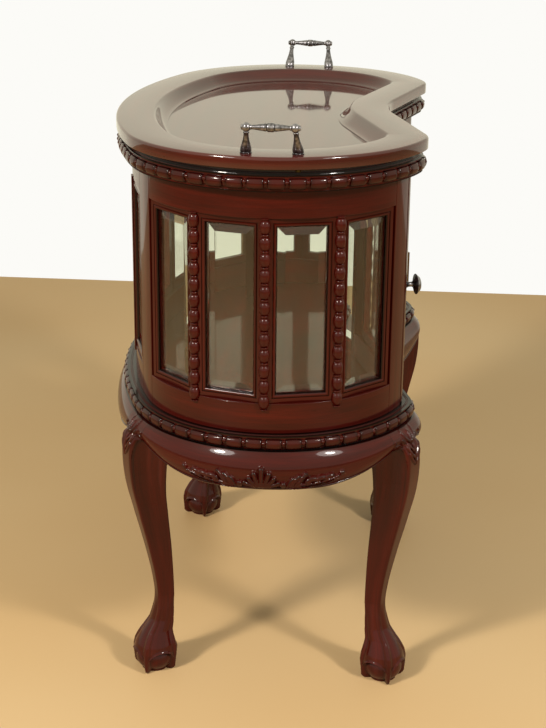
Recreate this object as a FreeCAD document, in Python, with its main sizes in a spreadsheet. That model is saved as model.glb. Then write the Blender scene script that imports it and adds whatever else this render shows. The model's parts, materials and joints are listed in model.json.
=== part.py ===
import FreeCAD, Part
import math
import os
import re

import Sketcher

# A kidney-shaped glazed cabinet on four cabriole legs, with a lift-off tray top.
# Millimetres and degrees. +X runs along the length, the hollow front with its door
# faces -Y, +Z is up, and the origin is on the floor under the middle of the outline.

SIZES = {
    # Plan outline of the tray: two end circles, a long back arc, two lobe tips, a notch
    "tray_length": 736,
    "tray_width": 425,
    "back_fall": 32,
    "tip_overreach": 7,
    "tip_radius": 60,
    "notch_radius": 180,
    "notch_depth": 53.5,
    # Heights, from the floor up
    "apron_bottom": 327,
    "apron_height": 49,
    "wall_height": 313,
    "tray_foot_height": 10,
    "tray_edge_height": 13,
    # Cabinet wall, top and floor
    "wall_inset": 20,
    "wall_thickness": 22,
    "top_rail_height": 36,
    "bottom_rail_height": 40,
    "front_post_width": 35,
    "back_post_width": 20,
    "plate_inset": 22,
    "plate_clearance": 0.1,
    # Windows
    "sash_thickness": 14,
    "sash_bar": 12,
    "sash_gap": 0.2,
    "pane_thickness": 4,
    "pane_setback": 4,
    "mullion_radius": 7,
    "mullion_neck_radius": 5.2,
    "mullion_overlap": 8,
    "mullion_head_overlap": 0.5,
    "back_strip_width": 14,
    "back_strip_thickness": 2,
    # Bead courses over and under the wall
    "bead_height": 15,
    "bead_depth": 6,
    "moulding_lip": 1.5,
    "cornice_lip": 3.5,
    "cornice_setback": 7,
    "base_setback": 9,
    # Apron
    "apron_top_setback": 3,
    "apron_bottom_reach": 2,
    "apron_round_radius": 45,
    "apron_thickness": 26,
    # Legs: how far each section's middle lies inside the end circle, and its radius
    "leg_head_margin": 1.2,
    "leg_head_depth": 70,
    "knee_rise": 13,
    "ankle_height": 105,
    "leg_top_inset": 16,
    "leg_top_radius": 22,
    "knee_inset": 6,
    "knee_radius": 25.5,
    "thigh_inset": 7,
    "thigh_radius": 25,
    "calf_inset": 15,
    "calf_radius": 21.5,
    "shin_inset": 24,
    "shin_radius": 17.5,
    "low_shin_inset": 31,
    "low_shin_radius": 14,
    "ankle_inset": 33,
    "ankle_radius": 13,
    "instep_inset": 29,
    "instep_radius": 16,
    "claw_inset": 21,
    "claw_radius": 26,
    "ball_inset": 18,
    "ball_radius": 32,
    "sole_inset": 18,
    "sole_radius": 24,
    # Corner blocks under the cabinet floor
    "corner_block_size": 34,
    "corner_block_clearance": 0.1,
    "block_screw_radius": 2.2,
    "block_screw_bite": 12,
    "block_screw_head_radius": 4.2,
    "block_screw_head_height": 2.6,
    # Door
    "door_gap": 2.2,
    "door_stile_flat": 25,
    "door_light_setback": 4,
    "door_light_trim": 3.5,
    # Hinges
    "hinge_height": 50,
    "hinge_inset": 60,
    "hinge_leaf_width": 22,
    "hinge_leaf_thickness": 0.8,
    "hinge_leaf_gap": 0.15,
    "hinge_barrel_radius": 4,
    "hinge_barrel_clearance": 0.5,
    "hinge_pin_radius": 2,
    "hinge_pin_clearance": 0.05,
    "hinge_knuckle_gap": 0.3,
    "hinge_screw_radius": 1.3,
    "hinge_screw_head_radius": 2.6,
    "hinge_screw_bite": 12,
    "hinge_screw_pitch": 25,
    # Catch
    "catch_width": 30,
    "catch_depth": 12,
    "catch_height": 14,
    "catch_gap": 0.5,
    "strike_thickness": 1.5,
    # Knob
    "knob_offset": 6,
    "knob_height": 156,
    "knob_base_radius": 6.5,
    "knob_foot_length": 1,
    "knob_flare_length": 5,
    "knob_flare_radius": 6,
    "knob_neck_radius": 3.25,
    "knob_neck_length": 3,
    "knob_under_length": 5.5,
    "knob_under_radius": 11,
    "knob_head_radius": 13.5,
    "knob_rim_thickness": 1.5,
    "knob_crown_height": 7,
    # Tray
    "rim_width": 52,
    "panel_thickness": 6,
    "recess_tip_radius": 30,
    "tray_foot_inset": 18,
    "tray_edge_round": 5,
    "panel_seat_width": 9,
    "panel_clearance": 0.15,
    # Tray handles
    "handle_inset": 24,
    "handle_shift": 7,
    "handle_spacing": 62.5,
    "handle_gather": 2.5,
    "handle_lean": 20,
    "handle_height": 40,
    "handle_base_radius": 7.25,
    "handle_foot_height": 2,
    "handle_swell_radius": 6.7,
    "handle_waist_radius": 4,
    "handle_neck_radius": 2.9,
    "handle_ball_radius": 5.5,
    "handle_screw_bite": 6,
    "bar_end_radius": 2.4,
    "bar_shoulder_gap": 1,
    "bar_swell_radius": 90,
    "bar_middle_radius": 5.35,
    "bar_collar_width": 7,
    "bar_collar_bevel": 1.5,
    "bar_collar_step": 0.9,
    "finial_overhang": 1.2,
    "finial_radius": 3.3,
    "finial_length": 1.2,
    # Screws for the knob and the handles
    "screw_radius": 2,
    "screw_clearance": 0.05,
    "screw_bite": 9,
    "screw_end_gap": 1,
    "screw_head_radius": 4,
    "screw_head_height": 2.4,
    "screw_head_clearance": 0.3,
    "screw_recess_depth": 4.4,
}

# Places that follow from the sizes
PLACES = {
    # Axes of the outline's circles, in plan, and the back arc's radius
    "end_radius": "(tray_width - back_fall + tip_overreach) / 2",
    "end_x": "tray_length / 2 - end_radius",
    "end_y": "tray_width / 2 - back_fall - end_radius",
    "back_rise": "tray_width / 2 - end_y",
    "back_radius": "(end_x ^ 2 + back_rise ^ 2 - end_radius ^ 2) / (2 * back_fall)",
    "back_y": "tray_width / 2 - back_radius",
    "notch_y": "notch_depth - tray_width / 2 - notch_radius",
    "tip_y": "tip_radius - tray_width / 2",
    "tip_reach": "sqrt((end_radius - tip_radius) ^ 2 - (end_y - tip_y) ^ 2)",
    "tip_x": "end_x + tip_reach",
    # Angles from an end circle's axis to where the back arc and the lobe tip begin
    "back_angle": "atan2(end_y - back_y; end_x) / 1deg",
    "front_angle": "atan2(end_y - tip_y; tip_reach) / 1deg",
    # The straight flank between lobe tip and notch: its normal and its length
    "notch_to_tip": "sqrt(tip_x ^ 2 + (tip_y - notch_y) ^ 2)",
    "flank_lean": "acos((notch_radius + tip_radius) / notch_to_tip)",
    "flank_angle": "(atan2(tip_y - notch_y; tip_x) + flank_lean) / 1deg",
    "flank_length": "sqrt(notch_to_tip ^ 2 - (notch_radius + tip_radius) ^ 2)",
    # Levels
    "z_base": "apron_bottom + apron_height",
    "z_wall": "z_base + bead_height + 2 * moulding_lip",
    "z_sill": "z_wall + bottom_rail_height",
    "z_top": "z_wall + wall_height",
    "z_head": "z_top - top_rail_height",
    "z_seat": "z_top + cornice_lip + bead_height + moulding_lip",
    "z_edge": "z_seat + tray_foot_height",
    "z_rim": "z_edge + tray_edge_height",
    "z_panel": "z_seat + panel_thickness",
    "light_height": "z_head - z_sill",
    "mullion_low": "z_sill - mullion_overlap",
    "mullion_length": "light_height + mullion_overlap + mullion_head_overlap",
    # Wall
    "wall_end_radius": "end_radius - wall_inset",
    "wall_back_radius": "back_radius - wall_inset",
    "inner_inset": "wall_inset + wall_thickness",
    "gap_angle": "door_gap / wall_end_radius * 180 / pi",
    "end_window_angle": "front_angle - gap_angle - front_post_width / wall_end_radius * 180 / pi",
    "back_window_angle": "90 - back_angle - back_post_width / wall_back_radius * 180 / pi",
    "bead_radius": "(bead_height ^ 2 / 4 + bead_depth ^ 2) / (2 * bead_depth)",
    # Tray
    "cove_radius": "z_rim - z_panel",
    "cove_inset": "rim_width + cove_radius",
    "seat_inset": "cove_inset - panel_seat_width",
    "handle_x": "tray_length / 2 - handle_inset",
    "handle_y": "end_y - handle_shift",
    "bar_spacing": "handle_spacing - 2 * handle_gather",
    "screw_seat": "z_seat + screw_recess_depth",
    "handle_ball_z": "handle_height - handle_ball_radius",
    "finial_round": "(finial_length ^ 2 + finial_radius ^ 2) / (2 * finial_length)",
    # Legs
    "knee_z": "apron_bottom + knee_rise",
    "leg_head_angle": "2 * asin((knee_radius + leg_head_margin) / (end_radius - knee_inset)) / 1deg",
    "leg_inner_angle": "back_angle - leg_head_angle",
    "leg_head_back": "(end_radius - leg_head_depth) * cos((front_angle - leg_inner_angle) / 2)",
    "block_far": "leg_head_back - corner_block_clearance",
    "block_middle": "block_far - corner_block_size / 2",
    "block_low": "z_base - corner_block_size",
    # Door
    "door_low": "z_wall + door_gap",
    "door_high": "z_top - door_gap",
    "hinge_radius": "wall_end_radius + hinge_barrel_radius + hinge_barrel_clearance",
    "hinge_angle": "gap_angle / 2 - front_angle",
    "leaf_start": "0 - hinge_barrel_radius - hinge_barrel_clearance - hinge_leaf_width",
    "knob_z": "z_wall + knob_height",
}

END_LIGHTS = 4
BACK_LIGHTS = 5
MULLION_BEADS = 12
# How far beyond a face a cutting tool reaches
OVERCUT = 1

os.makedirs("parts", exist_ok=True)
V = FreeCAD.Vector
UP = V(0, 0, 1)
doc = FreeCAD.newDocument("dumbwaiter_table")
sheet = doc.addObject("Spreadsheet::Sheet", "sizes")
for row, (size_name, size_value) in enumerate(SIZES.items(), 1):
    sheet.set(f"A{row}", size_name)
    sheet.set(f"B{row}", str(size_value))
    sheet.setAlias(f"B{row}", size_name)
doc.recompute()

NODES = []


# Expressions and their values

def bind(text):
    """The expression with each place written out and each size pointed at its cell."""
    def spell(match):
        word = match.group()
        if word in PLACES:
            return f"({bind(PLACES[word])})"
        return f"sizes.{word}" if word in SIZES else word
    return re.sub(r"[a-z_]+", spell, str(text))


def number(text):
    """What an expression is worth now."""
    value = sheet.evalExpression(bind(text))
    return float(getattr(value, "Value", value))


def polar(x, y, radius, angle, sign=1):
    """A point at a radius and an angle from an axis, on either side of the middle."""
    return f"{sign} * ({x} + ({radius}) * cos({angle}))", f"{y} + ({radius}) * sin({angle})"


def on_flank(inset, along, sign=1):
    """A point on a flank, counted from the lobe tip towards the notch."""
    reach = f"(tip_radius - ({inset}))"
    x = f"{sign} * (tip_x - cos(flank_angle) * {reach} - sin(flank_angle) * ({along}))"
    y = f"tip_y - sin(flank_angle) * {reach} + cos(flank_angle) * ({along})"
    return x, y


SIDES = (("left", -1), ("right", 1))


def end_place(sign):
    """Where an end circle's axis stands, and which way that end faces."""
    return f"{sign} * end_x", "end_y", "0" if sign > 0 else "180"


# Sketches

def origin_feature(body, role):
    return [feature for feature in body.Origin.OriginFeatures if feature.Role == role][0]


def sketch_on(body, plane, name, lift="0"):
    """A sketch on one of the body's own planes, lifted along the plane's normal."""
    sketch = body.newObject("Sketcher::SketchObject", name)
    sketch.AttachmentSupport = [(origin_feature(body, plane), "")]
    sketch.MapMode = "FlatFace"
    sketch.setExpression("AttachmentOffset.Base.z", bind(lift))
    return sketch


def drive(sketch, kind, *where):
    """A dimension; the last argument is its expression."""
    *places, size = where
    index = sketch.addConstraint(Sketcher.Constraint(kind, *places, number(size)))
    sketch.renameConstraint(index, f"size_{index}")
    sketch.setExpression(f"Constraints.size_{index}", bind(size))


def arc_about(centre, radius, start, stop):
    """The anticlockwise arc from start to stop."""
    first = math.atan2(start.y - centre.y, start.x - centre.x)
    last = math.atan2(stop.y - centre.y, stop.x - centre.x)
    if last < first:
        last += 2 * math.pi
    return Part.ArcOfCircle(Part.Circle(centre, UP, radius), first, last)


def arc_between(start, stop, radius, turn):
    """The short arc from start to stop that turns left with +1 and right with -1."""
    chord = stop - start
    left = V(-chord.y, chord.x, 0).normalize()
    rise = math.sqrt(radius ** 2 - (chord.Length / 2) ** 2)
    centre = (start + stop) / 2 + left * rise * turn
    if turn > 0:
        return arc_about(centre, radius, start, stop)
    return arc_about(centre, radius, stop, start)


def path(sketch, points, closed=True):
    """Lines and arcs from corner to corner. A corner is (x, y), or (x, y, radius, turn)
    where an arc arrives at it."""
    corners = [V(number(x), number(y), 0) for x, y, *_ in points]
    edges = []
    for i, (_, _, *arc) in enumerate(points):
        if i == 0 and not closed:
            continue
        start = corners[i - 1]
        stop = corners[i]
        if not arc:
            edges.append((sketch.addGeometry(Part.LineSegment(start, stop), False), 1, 2, i))
            continue
        radius, turn = arc
        edge = sketch.addGeometry(arc_between(start, stop, number(radius), turn), False)
        drive(sketch, "Radius", edge, radius)
        edges.append((edge, 1, 2, i) if turn > 0 else (edge, 2, 1, i))
    joints = list(zip(edges, edges[1:]))
    if closed:
        joints.append((edges[-1], edges[0]))
    else:
        drive(sketch, "DistanceX", edges[0][0], edges[0][1], points[0][0])
        drive(sketch, "DistanceY", edges[0][0], edges[0][1], points[0][1])
    for (edge, _, last, _), (following, first, _, _) in joints:
        sketch.addConstraint(Sketcher.Constraint("Coincident", edge, last, following, first))
    for edge, _, last, i in edges:
        drive(sketch, "DistanceX", edge, last, points[i][0])
        drive(sketch, "DistanceY", edge, last, points[i][1])


def rectangle(sketch, low_x, low_y, high_x, high_y):
    path(sketch, [(low_x, low_y), (high_x, low_y), (high_x, high_y), (low_x, high_y)])


def kidney(sketch, inset="0", tip=None):
    """The closed plan outline, moved inwards; it starts at the middle of the back."""
    tip = tip or f"tip_radius - ({inset})"
    tip_y = f"({inset}) + ({tip}) - tray_width / 2"
    end = V(number("end_x"), number("end_y"), 0)
    back = V(0, number("back_y"), 0)
    notch = V(0, number("notch_y"), 0)
    end_r = number(f"end_radius - ({inset})")
    back_r = number(f"back_radius - ({inset})")
    notch_r = number(f"notch_radius + ({inset})")
    tip_r = number(tip)
    fall = end.y - number(tip_y)
    lobe = V(end.x + math.sqrt((end_r - tip_r) ** 2 - fall ** 2), number(tip_y), 0)
    reach = lobe - notch
    normal = math.atan2(reach.y, reach.x) + math.acos((notch_r + tip_r) / reach.Length)
    outward = V(math.cos(normal), math.sin(normal), 0)
    top = V(0, back.y + back_r, 0)
    to_end = back + (end - back).normalize() * back_r
    to_tip = end + (lobe - end).normalize() * end_r
    off_tip = lobe - outward * tip_r
    on_notch = notch + outward * notch_r

    def flip(point):
        return V(-point.x, point.y, 0)

    g = sketch.GeometryCount
    sketch.addGeometry([
        arc_about(back, back_r, top, flip(to_end)),
        arc_about(flip(end), end_r, flip(to_end), flip(to_tip)),
        arc_about(flip(lobe), tip_r, flip(to_tip), flip(off_tip)),
        Part.LineSegment(flip(off_tip), flip(on_notch)),
        arc_about(notch, notch_r, on_notch, flip(on_notch)),
        Part.LineSegment(on_notch, off_tip),
        arc_about(lobe, tip_r, off_tip, to_tip),
        arc_about(end, end_r, to_tip, to_end),
        arc_about(back, back_r, to_end, top),
    ], False)
    joints = [(0, 2, 1, 1), (1, 2, 2, 1), (2, 2, 3, 1), (3, 2, 4, 2),
              (4, 1, 5, 1), (5, 2, 6, 1), (6, 2, 7, 1), (7, 2, 8, 1)]
    for edge, last, following, first in joints:
        sketch.addConstraint(Sketcher.Constraint("Tangent", g + edge, last, g + following, first))
    sketch.addConstraint(Sketcher.Constraint("Coincident", g + 8, 2, g, 1))
    sketch.addConstraint(Sketcher.Constraint("Coincident", g + 8, 3, g, 3))
    sketch.addConstraint(Sketcher.Constraint("PointOnObject", g, 1, -2))
    sketch.addConstraint(Sketcher.Constraint("Symmetric", g + 1, 3, g + 7, 3, -2))
    sketch.addConstraint(Sketcher.Constraint("Equal", g + 1, g + 7))
    sketch.addConstraint(Sketcher.Constraint("Equal", g + 2, g + 6))
    sketch.addConstraint(Sketcher.Constraint("Horizontal", g + 2, 3, g + 6, 3))
    sketch.addConstraint(Sketcher.Constraint("PointOnObject", g + 4, 3, -2))
    drive(sketch, "DistanceX", g + 7, 3, "end_x")
    drive(sketch, "DistanceY", g + 7, 3, "end_y")
    drive(sketch, "Radius", g + 7, f"end_radius - ({inset})")
    drive(sketch, "Radius", g, f"back_radius - ({inset})")
    drive(sketch, "Radius", g + 6, tip)
    drive(sketch, "DistanceY", g + 6, 3, tip_y)
    drive(sketch, "Radius", g + 4, f"notch_radius + ({inset})")
    drive(sketch, "DistanceY", g + 4, 3, "notch_y")


KIDNEY_EDGES = [f"Edge{i}" for i in range(1, 10)]


# Features

def new_body(label):
    body = doc.addObject("PartDesign::Body", label)
    body.Label = label
    return body


def pad(body, sketch, length):
    feature = body.newObject("PartDesign::Pad", f"{sketch.Name}_pad")
    feature.Profile = sketch
    feature.setExpression("Length", bind(length))
    doc.recompute()


def revolve(body, sketch, angle, axis="Z_Axis", midplane=True):
    feature = body.newObject("PartDesign::Revolution", f"{sketch.Name}_turn")
    feature.Profile = sketch
    feature.ReferenceAxis = (origin_feature(body, axis), [""])
    feature.Midplane = midplane
    feature.setExpression("Angle", bind(angle))
    doc.recompute()


def sweep(body, kind, name, section, line, edges):
    doc.recompute()
    feature = body.newObject(f"PartDesign::{kind}Pipe", name)
    feature.Profile = section
    feature.Spine = (line, edges)
    doc.recompute()
    return feature


def place(item, x="0", y="0", z="0", angle="0"):
    """Puts an object at a point, turned about the vertical."""
    item.setExpression("Placement.Base.x", bind(x))
    item.setExpression("Placement.Base.y", bind(y))
    item.setExpression("Placement.Base.z", bind(z))
    item.setExpression("Placement.Rotation.Angle", bind(angle))


def node(item, label=None):
    """Marks an object as one of the finished pieces."""
    if label:
        item.Label = label
    NODES.append(item)


def hold(name, pieces):
    """Several objects as one, each still a solid of its own."""
    compound = doc.addObject("Part::Compound", name)
    compound.Links = pieces
    return compound


def group(label, pieces):
    """A finished piece, or a set of equal pieces that share one name."""
    node(hold(label, pieces), label)


def copy_of(item, name, **spot):
    link = doc.addObject("App::Link", name)
    link.LinkedObject = item
    place(link, **spot)
    return link


def cylinder(name, radius, height, x="0", y="0", z="0", axis=None, angle=0):
    """An upright cylinder, or one tipped about an axis by an angle."""
    item = doc.addObject("Part::Cylinder", name)
    item.setExpression("Radius", bind(radius))
    item.setExpression("Height", bind(height))
    if axis:
        item.Placement = FreeCAD.Placement(V(), FreeCAD.Rotation(axis, angle))
    item.setExpression("Placement.Base.x", bind(x))
    item.setExpression("Placement.Base.y", bind(y))
    item.setExpression("Placement.Base.z", bind(z))
    return item


def box(name, length, width, height, **spot):
    item = doc.addObject("Part::Box", name)
    item.setExpression("Length", bind(length))
    item.setExpression("Width", bind(width))
    item.setExpression("Height", bind(height))
    place(item, **spot)
    return item


def fuse(name, pieces):
    item = doc.addObject("Part::MultiFuse", name)
    item.Shapes = pieces
    return item


def cut(name, base, tool):
    item = doc.addObject("Part::Cut", name)
    item.Base = base
    item.Tool = tool
    return item


def arc_piece(label, outline, half_angle, x, y, angle):
    """A piece turned about a vertical axis; its outline is in radius and height."""
    body = new_body(label)
    sketch = sketch_on(body, "XZ_Plane", f"{label}_section")
    path(sketch, outline)
    revolve(body, sketch, f"2 * ({half_angle})")
    place(body, x=x, y=y, angle=angle)
    return body


def plate(label, inset, low, high, tip=None):
    """A flat slab with the plan outline."""
    body = new_body(label)
    sketch = sketch_on(body, "XY_Plane", f"{label}_outline", low)
    kidney(sketch, inset, tip)
    pad(body, sketch, f"({high}) - ({low})")
    return body


# Tray: rim with a cove, panel, handles

def recess_tip(inset):
    return f"recess_tip_radius + rim_width - ({inset})"


def tray_rim():
    body = new_body("tray_rim_blank")
    layers = [
        ("edge", "z_edge", "z_rim", "0", "cove_inset"),
        ("shoulder", "z_panel", "z_edge", "tray_foot_inset", "cove_inset"),
        ("foot", "z_seat", "z_panel", "tray_foot_inset", "seat_inset"),
    ]
    for name, low, high, outer, inner in layers:
        sketch = sketch_on(body, "XY_Plane", f"rim_{name}", low)
        kidney(sketch, outer)
        kidney(sketch, inner, recess_tip(inner))
        pad(body, sketch, f"{high} - {low}")
    line = sketch_on(body, "XY_Plane", "cove_line", "z_rim")
    kidney(line, "rim_width", recess_tip("rim_width"))
    section = sketch_on(body, "YZ_Plane", "cove_section")
    edge_y = "tray_width / 2 - rim_width"
    path(section, [
        (edge_y, "z_rim"),
        (f"{edge_y} - cove_radius", "z_panel", "cove_radius", -1),
        (f"{edge_y} - cove_radius - {OVERCUT}", "z_panel"),
        (f"{edge_y} - cove_radius - {OVERCUT}", f"z_rim + {OVERCUT}"),
        (edge_y, f"z_rim + {OVERCUT}"),
    ])
    cove = sweep(body, "Subtractive", "cove", section, line, KIDNEY_EDGES)
    rounding = body.newObject("PartDesign::Fillet", "edge_round")
    rounding.Base = (cove, outer_edges(cove.Shape))
    rounding.setExpression("Radius", bind("min(tray_edge_round; tray_edge_height * 0.45)"))
    doc.recompute()
    return body


def outer_edges(shape):
    """Names of the edges round the outside of the tray, above and below."""
    wanted = []
    for face in shape.Faces:
        extent = face.BoundBox
        level = extent.ZLength < 1e-3 and extent.XLength > number("tray_length - 2 * tray_foot_inset + 1")
        if level and extent.ZMax > number("z_edge") - 1e-3:
            wanted += face.OuterWire.Edges
    return [f"Edge{i}" for i, edge in enumerate(shape.Edges, 1) if any(edge.isSame(e) for e in wanted)]


# Handle post sections from the foot up: radius, height, and their share of the lean
POST_SECTIONS = [
    ("handle_base_radius", "0", "0"),
    ("handle_base_radius", "handle_foot_height", "0.03"),
    ("handle_swell_radius", "handle_ball_z * 0.19", "0.14"),
    ("handle_waist_radius", "handle_ball_z * 0.5", "0.47"),
    ("handle_neck_radius", "handle_ball_z * 0.74", "0.73"),
    ("handle_neck_radius", "handle_ball_z", "1"),
]


def handle_post(name, way):
    """A flared post that leans towards +X and sideways, with a ball at the top for the bar."""
    body = new_body(f"{name}_shaft")
    sections = []
    for i, (radius, height, share) in enumerate(POST_SECTIONS):
        x = f"handle_lean * {share}"
        y = f"{way} * handle_gather * {share}"
        sketch = sketch_on(body, "XY_Plane", f"{name}_section_{i}", height)
        circle = sketch.addGeometry(Part.Circle(V(number(x), number(y), 0), UP, number(radius)), False)
        drive(sketch, "DistanceX", circle, 3, x)
        drive(sketch, "DistanceY", circle, 3, y)
        drive(sketch, "Radius", circle, radius)
        sections.append(sketch)
    doc.recompute()
    loft = body.newObject("PartDesign::AdditiveLoft", f"{name}_loft")
    loft.Profile = sections[0]
    loft.Sections = sections[1:]
    doc.recompute()
    ball = doc.addObject("Part::Sphere", f"{name}_ball")
    ball.setExpression("Radius", bind("handle_ball_radius"))
    place(ball, x="handle_lean", y=f"{way} * handle_gather", z="handle_ball_z")
    pilot = cylinder(f"{name}_pilot", "screw_radius + screw_clearance", f"handle_screw_bite + {OVERCUT}",
                     z=f"0 - {OVERCUT}")
    bore = cylinder(f"{name}_bar_bore", "bar_end_radius + screw_clearance", "4 * handle_ball_radius",
                    x="handle_lean", y="2 * handle_ball_radius", z="handle_ball_z", axis=V(1, 0, 0), angle=90)
    return cut(name, fuse(f"{name}_cast", [body, ball]), fuse(f"{name}_holes", [pilot, bore]))


def handle_bar():
    """A turned bar, thickest in the middle, with a collar there and a finial at each end."""
    body = new_body("handle_bar")
    section = sketch_on(body, "YZ_Plane", "handle_bar_section")
    shoulder = "(bar_spacing / 2 - handle_ball_radius - bar_shoulder_gap)"
    outside = "(bar_spacing / 2 + handle_ball_radius)"
    finial = f"({outside} + finial_overhang)"
    swell = "(bar_collar_width / 2 + bar_collar_bevel)"
    path(section, [
        (f"0 - {finial}", "0"),
        (f"finial_length - {finial}", "finial_radius", "finial_round", -1),
        (f"0 - {outside}", "bar_end_radius"),
        (f"0 - {shoulder}", "bar_end_radius"),
        (f"0 - {swell}", "bar_middle_radius - bar_collar_step", "bar_swell_radius", -1),
        ("0 - bar_collar_width / 2", "bar_middle_radius"),
        ("bar_collar_width / 2", "bar_middle_radius"),
        (swell, "bar_middle_radius - bar_collar_step"),
        (shoulder, "bar_end_radius", "bar_swell_radius", -1),
        (outside, "bar_end_radius"),
        (f"{finial} - finial_length", "finial_radius"),
        (finial, "0", "finial_round", -1),
    ])
    revolve(body, section, "360", axis="Y_Axis", midplane=False)
    return body


def tray():
    hole = "screw_radius + screw_clearance"
    head = cylinder("handle_screw_head", "screw_head_radius", "screw_head_height", z="0 - screw_head_height")
    reach = "z_rim - screw_seat + handle_screw_bite - screw_end_gap"
    shank = cylinder("handle_screw_shank", "screw_radius", reach)
    screw = fuse("handle_screw", [head, shank])
    # Turned half round, the post of one corner serves the corner across
    castings = {way: handle_post(f"handle_post_{'fore' if way > 0 else 'aft'}", way) for way in (1, -1)}
    bar = handle_bar()
    tools = []
    screws = []
    for side, sign in SIDES:
        x = f"{sign} * handle_x"
        turn = "0" if sign > 0 else "180"
        posts = []
        for end in (-1, 1):
            tag = f"{side}_{'near' if end < 0 else 'far'}"
            spot = dict(x=x, y=f"handle_y + {end} * handle_spacing / 2")
            tools.append(cylinder(f"rim_hole_{tag}", hole, f"z_rim - z_seat + 2 * {OVERCUT}",
                                  z=f"z_seat - {OVERCUT}", **spot))
            tools.append(cylinder(f"rim_recess_{tag}", "screw_head_radius + screw_head_clearance",
                                  f"screw_recess_depth + {OVERCUT}", z=f"z_seat - {OVERCUT}", **spot))
            screws.append(copy_of(screw, f"handle_screw_{tag}", z="screw_seat", **spot))
            casting = castings[-sign * end]
            posts.append(copy_of(casting, f"handle_post_{tag}", z="z_rim", angle=turn, **spot))
        group(f"{side}_handle_posts", posts)
        spot = dict(x=f"{x} + {sign} * handle_lean", y="handle_y", z="z_rim + handle_ball_z")
        group(f"{side}_handle_bar", [copy_of(bar, f"{side}_bar", **spot)])
    group("handle_screws", screws)
    node(cut("tray_rim", tray_rim(), fuse("rim_holes", tools)), "tray_rim")
    clear = "seat_inset + panel_clearance"
    node(plate("tray_panel", clear, "z_seat", "z_panel", recess_tip(clear)))


# Cabinet wall, its bead courses and the plate on top

def bead_course(label, low, high, lip, setback):
    """A half-round course between two flat lips, closed behind by the plate it frames."""
    body = new_body(label)
    line = sketch_on(body, "XY_Plane", f"{label}_line")
    kidney(line)
    section = sketch_on(body, "YZ_Plane", f"{label}_section")
    back = "tray_width / 2 - plate_inset"
    face = f"tray_width / 2 - {setback}"
    path(section, [
        (back, low),
        (face, low),
        (face, f"{low} + {lip}"),
        (face, f"{low} + {lip} + bead_height", "bead_radius", 1),
        (face, high),
        (back, high),
    ])
    sweep(body, "Additive", f"{label}_run", section, line, KIDNEY_EDGES)
    node(body)


def wall_section(radius, low, high):
    """A wall piece in radius and height, from the outer wall radius inwards."""
    inner = f"{radius} - wall_thickness"
    return [(inner, low), (radius, low), (radius, high), (inner, high)]


def back_post(side, sign):
    """The post where an end circle runs into the back arc, between two windows."""
    body = new_body(f"back_{side}_post")
    sketch = sketch_on(body, "XY_Plane", f"back_{side}_post_plan", "z_wall")
    faces = []
    for trim in ("0", "wall_thickness"):
        end_r = f"wall_end_radius - {trim}"
        back_r = f"wall_back_radius - {trim}"
        faces.append((
            polar("end_x", "end_y", end_r, "end_window_angle", sign),
            polar("end_x", "end_y", end_r, "back_angle", sign),
            polar("0", "back_y", back_r, "90 - back_window_angle", sign),
            end_r,
            back_r,
        ))
    outer, inner = faces
    path(sketch, [
        outer[0],
        (*outer[1], outer[3], sign),
        (*outer[2], outer[4], sign),
        inner[2],
        (*inner[1], inner[4], -sign),
        (*inner[0], inner[3], -sign),
    ])
    pad(body, sketch, "wall_height")
    node(body)


def carcass():
    """Everything above the base except windows, door and tray; gives the hinge post's blank."""
    node(plate("sub_top", "plate_inset + plate_clearance", "z_top", "z_seat"))
    bead_course("cornice_moulding", "z_top", "z_seat", "cornice_lip", "cornice_setback")
    bead_course("base_moulding", "z_base", "z_wall", "moulding_lip", "base_setback")
    rails = (("top", "z_head", "z_top"), ("bottom", "z_wall", "z_sill"))
    posts = {}
    for side, sign in SIDES:
        x, y, facing = end_place(sign)
        for rail, low, high in rails:
            section = wall_section("wall_end_radius", low, high)
            node(arc_piece(f"{rail}_rail_{side}", section, "end_window_angle", x, y, facing))
        edge = "(front_angle - gap_angle)"
        middle = f"({edge} + end_window_angle) / 2"
        section = wall_section("wall_end_radius", "z_wall", "z_top")
        posts[side] = arc_piece(f"front_{side}_post", section, f"({edge} - end_window_angle) / 2", x, y,
                                f"{facing} - {sign} * {middle}")
        back_post(side, sign)
    for rail, low, high in rails:
        section = wall_section("wall_back_radius", low, high)
        node(arc_piece(f"{rail}_rail_back", section, "back_window_angle", "0", "back_y", "90"))
    node(posts["left"])
    posts["right"].Label = "front_right_post_blank"
    return posts["right"]


# Windows: flat lights, with bobbin-turned mullions on the ends and door and plain strips on the back

def light(name, width):
    """A flat sash frame standing on its lower edge, outer face towards +X."""
    body = new_body(name)
    sketch = sketch_on(body, "YZ_Plane", f"{name}_face", "0 - sash_thickness")
    half = f"(({width}) / 2)"
    rectangle(sketch, f"0 - {half}", "0", half, "light_height")
    rectangle(sketch, f"sash_bar - {half}", "sash_bar", f"{half} - sash_bar", "light_height - sash_bar")
    pad(body, sketch, "sash_thickness")
    return body


def pane(name, width):
    """The glass of a light, in the same place and turned the same way."""
    glass = box(f"{name}_glass", "pane_thickness", f"({width}) - 2 * sash_bar",
                "light_height - 2 * sash_bar", x="0 - pane_setback - pane_thickness",
                y=f"sash_bar - ({width}) / 2", z="sash_bar")
    return hold(name, [glass])


def mullion():
    """Half of a bobbin turning, its flat back on the plane x = 0."""
    body = new_body("mullion")
    sketch = sketch_on(body, "XZ_Plane", "mullion_section")
    pitch = f"(mullion_length / {MULLION_BEADS})"
    swell = "(mullion_radius - mullion_neck_radius)"
    bead_r = f"({pitch} ^ 2 / 4 + {swell} ^ 2) / (2 * {swell})"
    outline = [("0", "0"), ("mullion_neck_radius", "0")]
    for i in range(1, MULLION_BEADS + 1):
        outline.append(("mullion_neck_radius", f"{i} * {pitch}", bead_r, 1))
    outline.append(("0", "mullion_length"))
    path(sketch, outline)
    revolve(body, sketch, "180")
    return body


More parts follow.
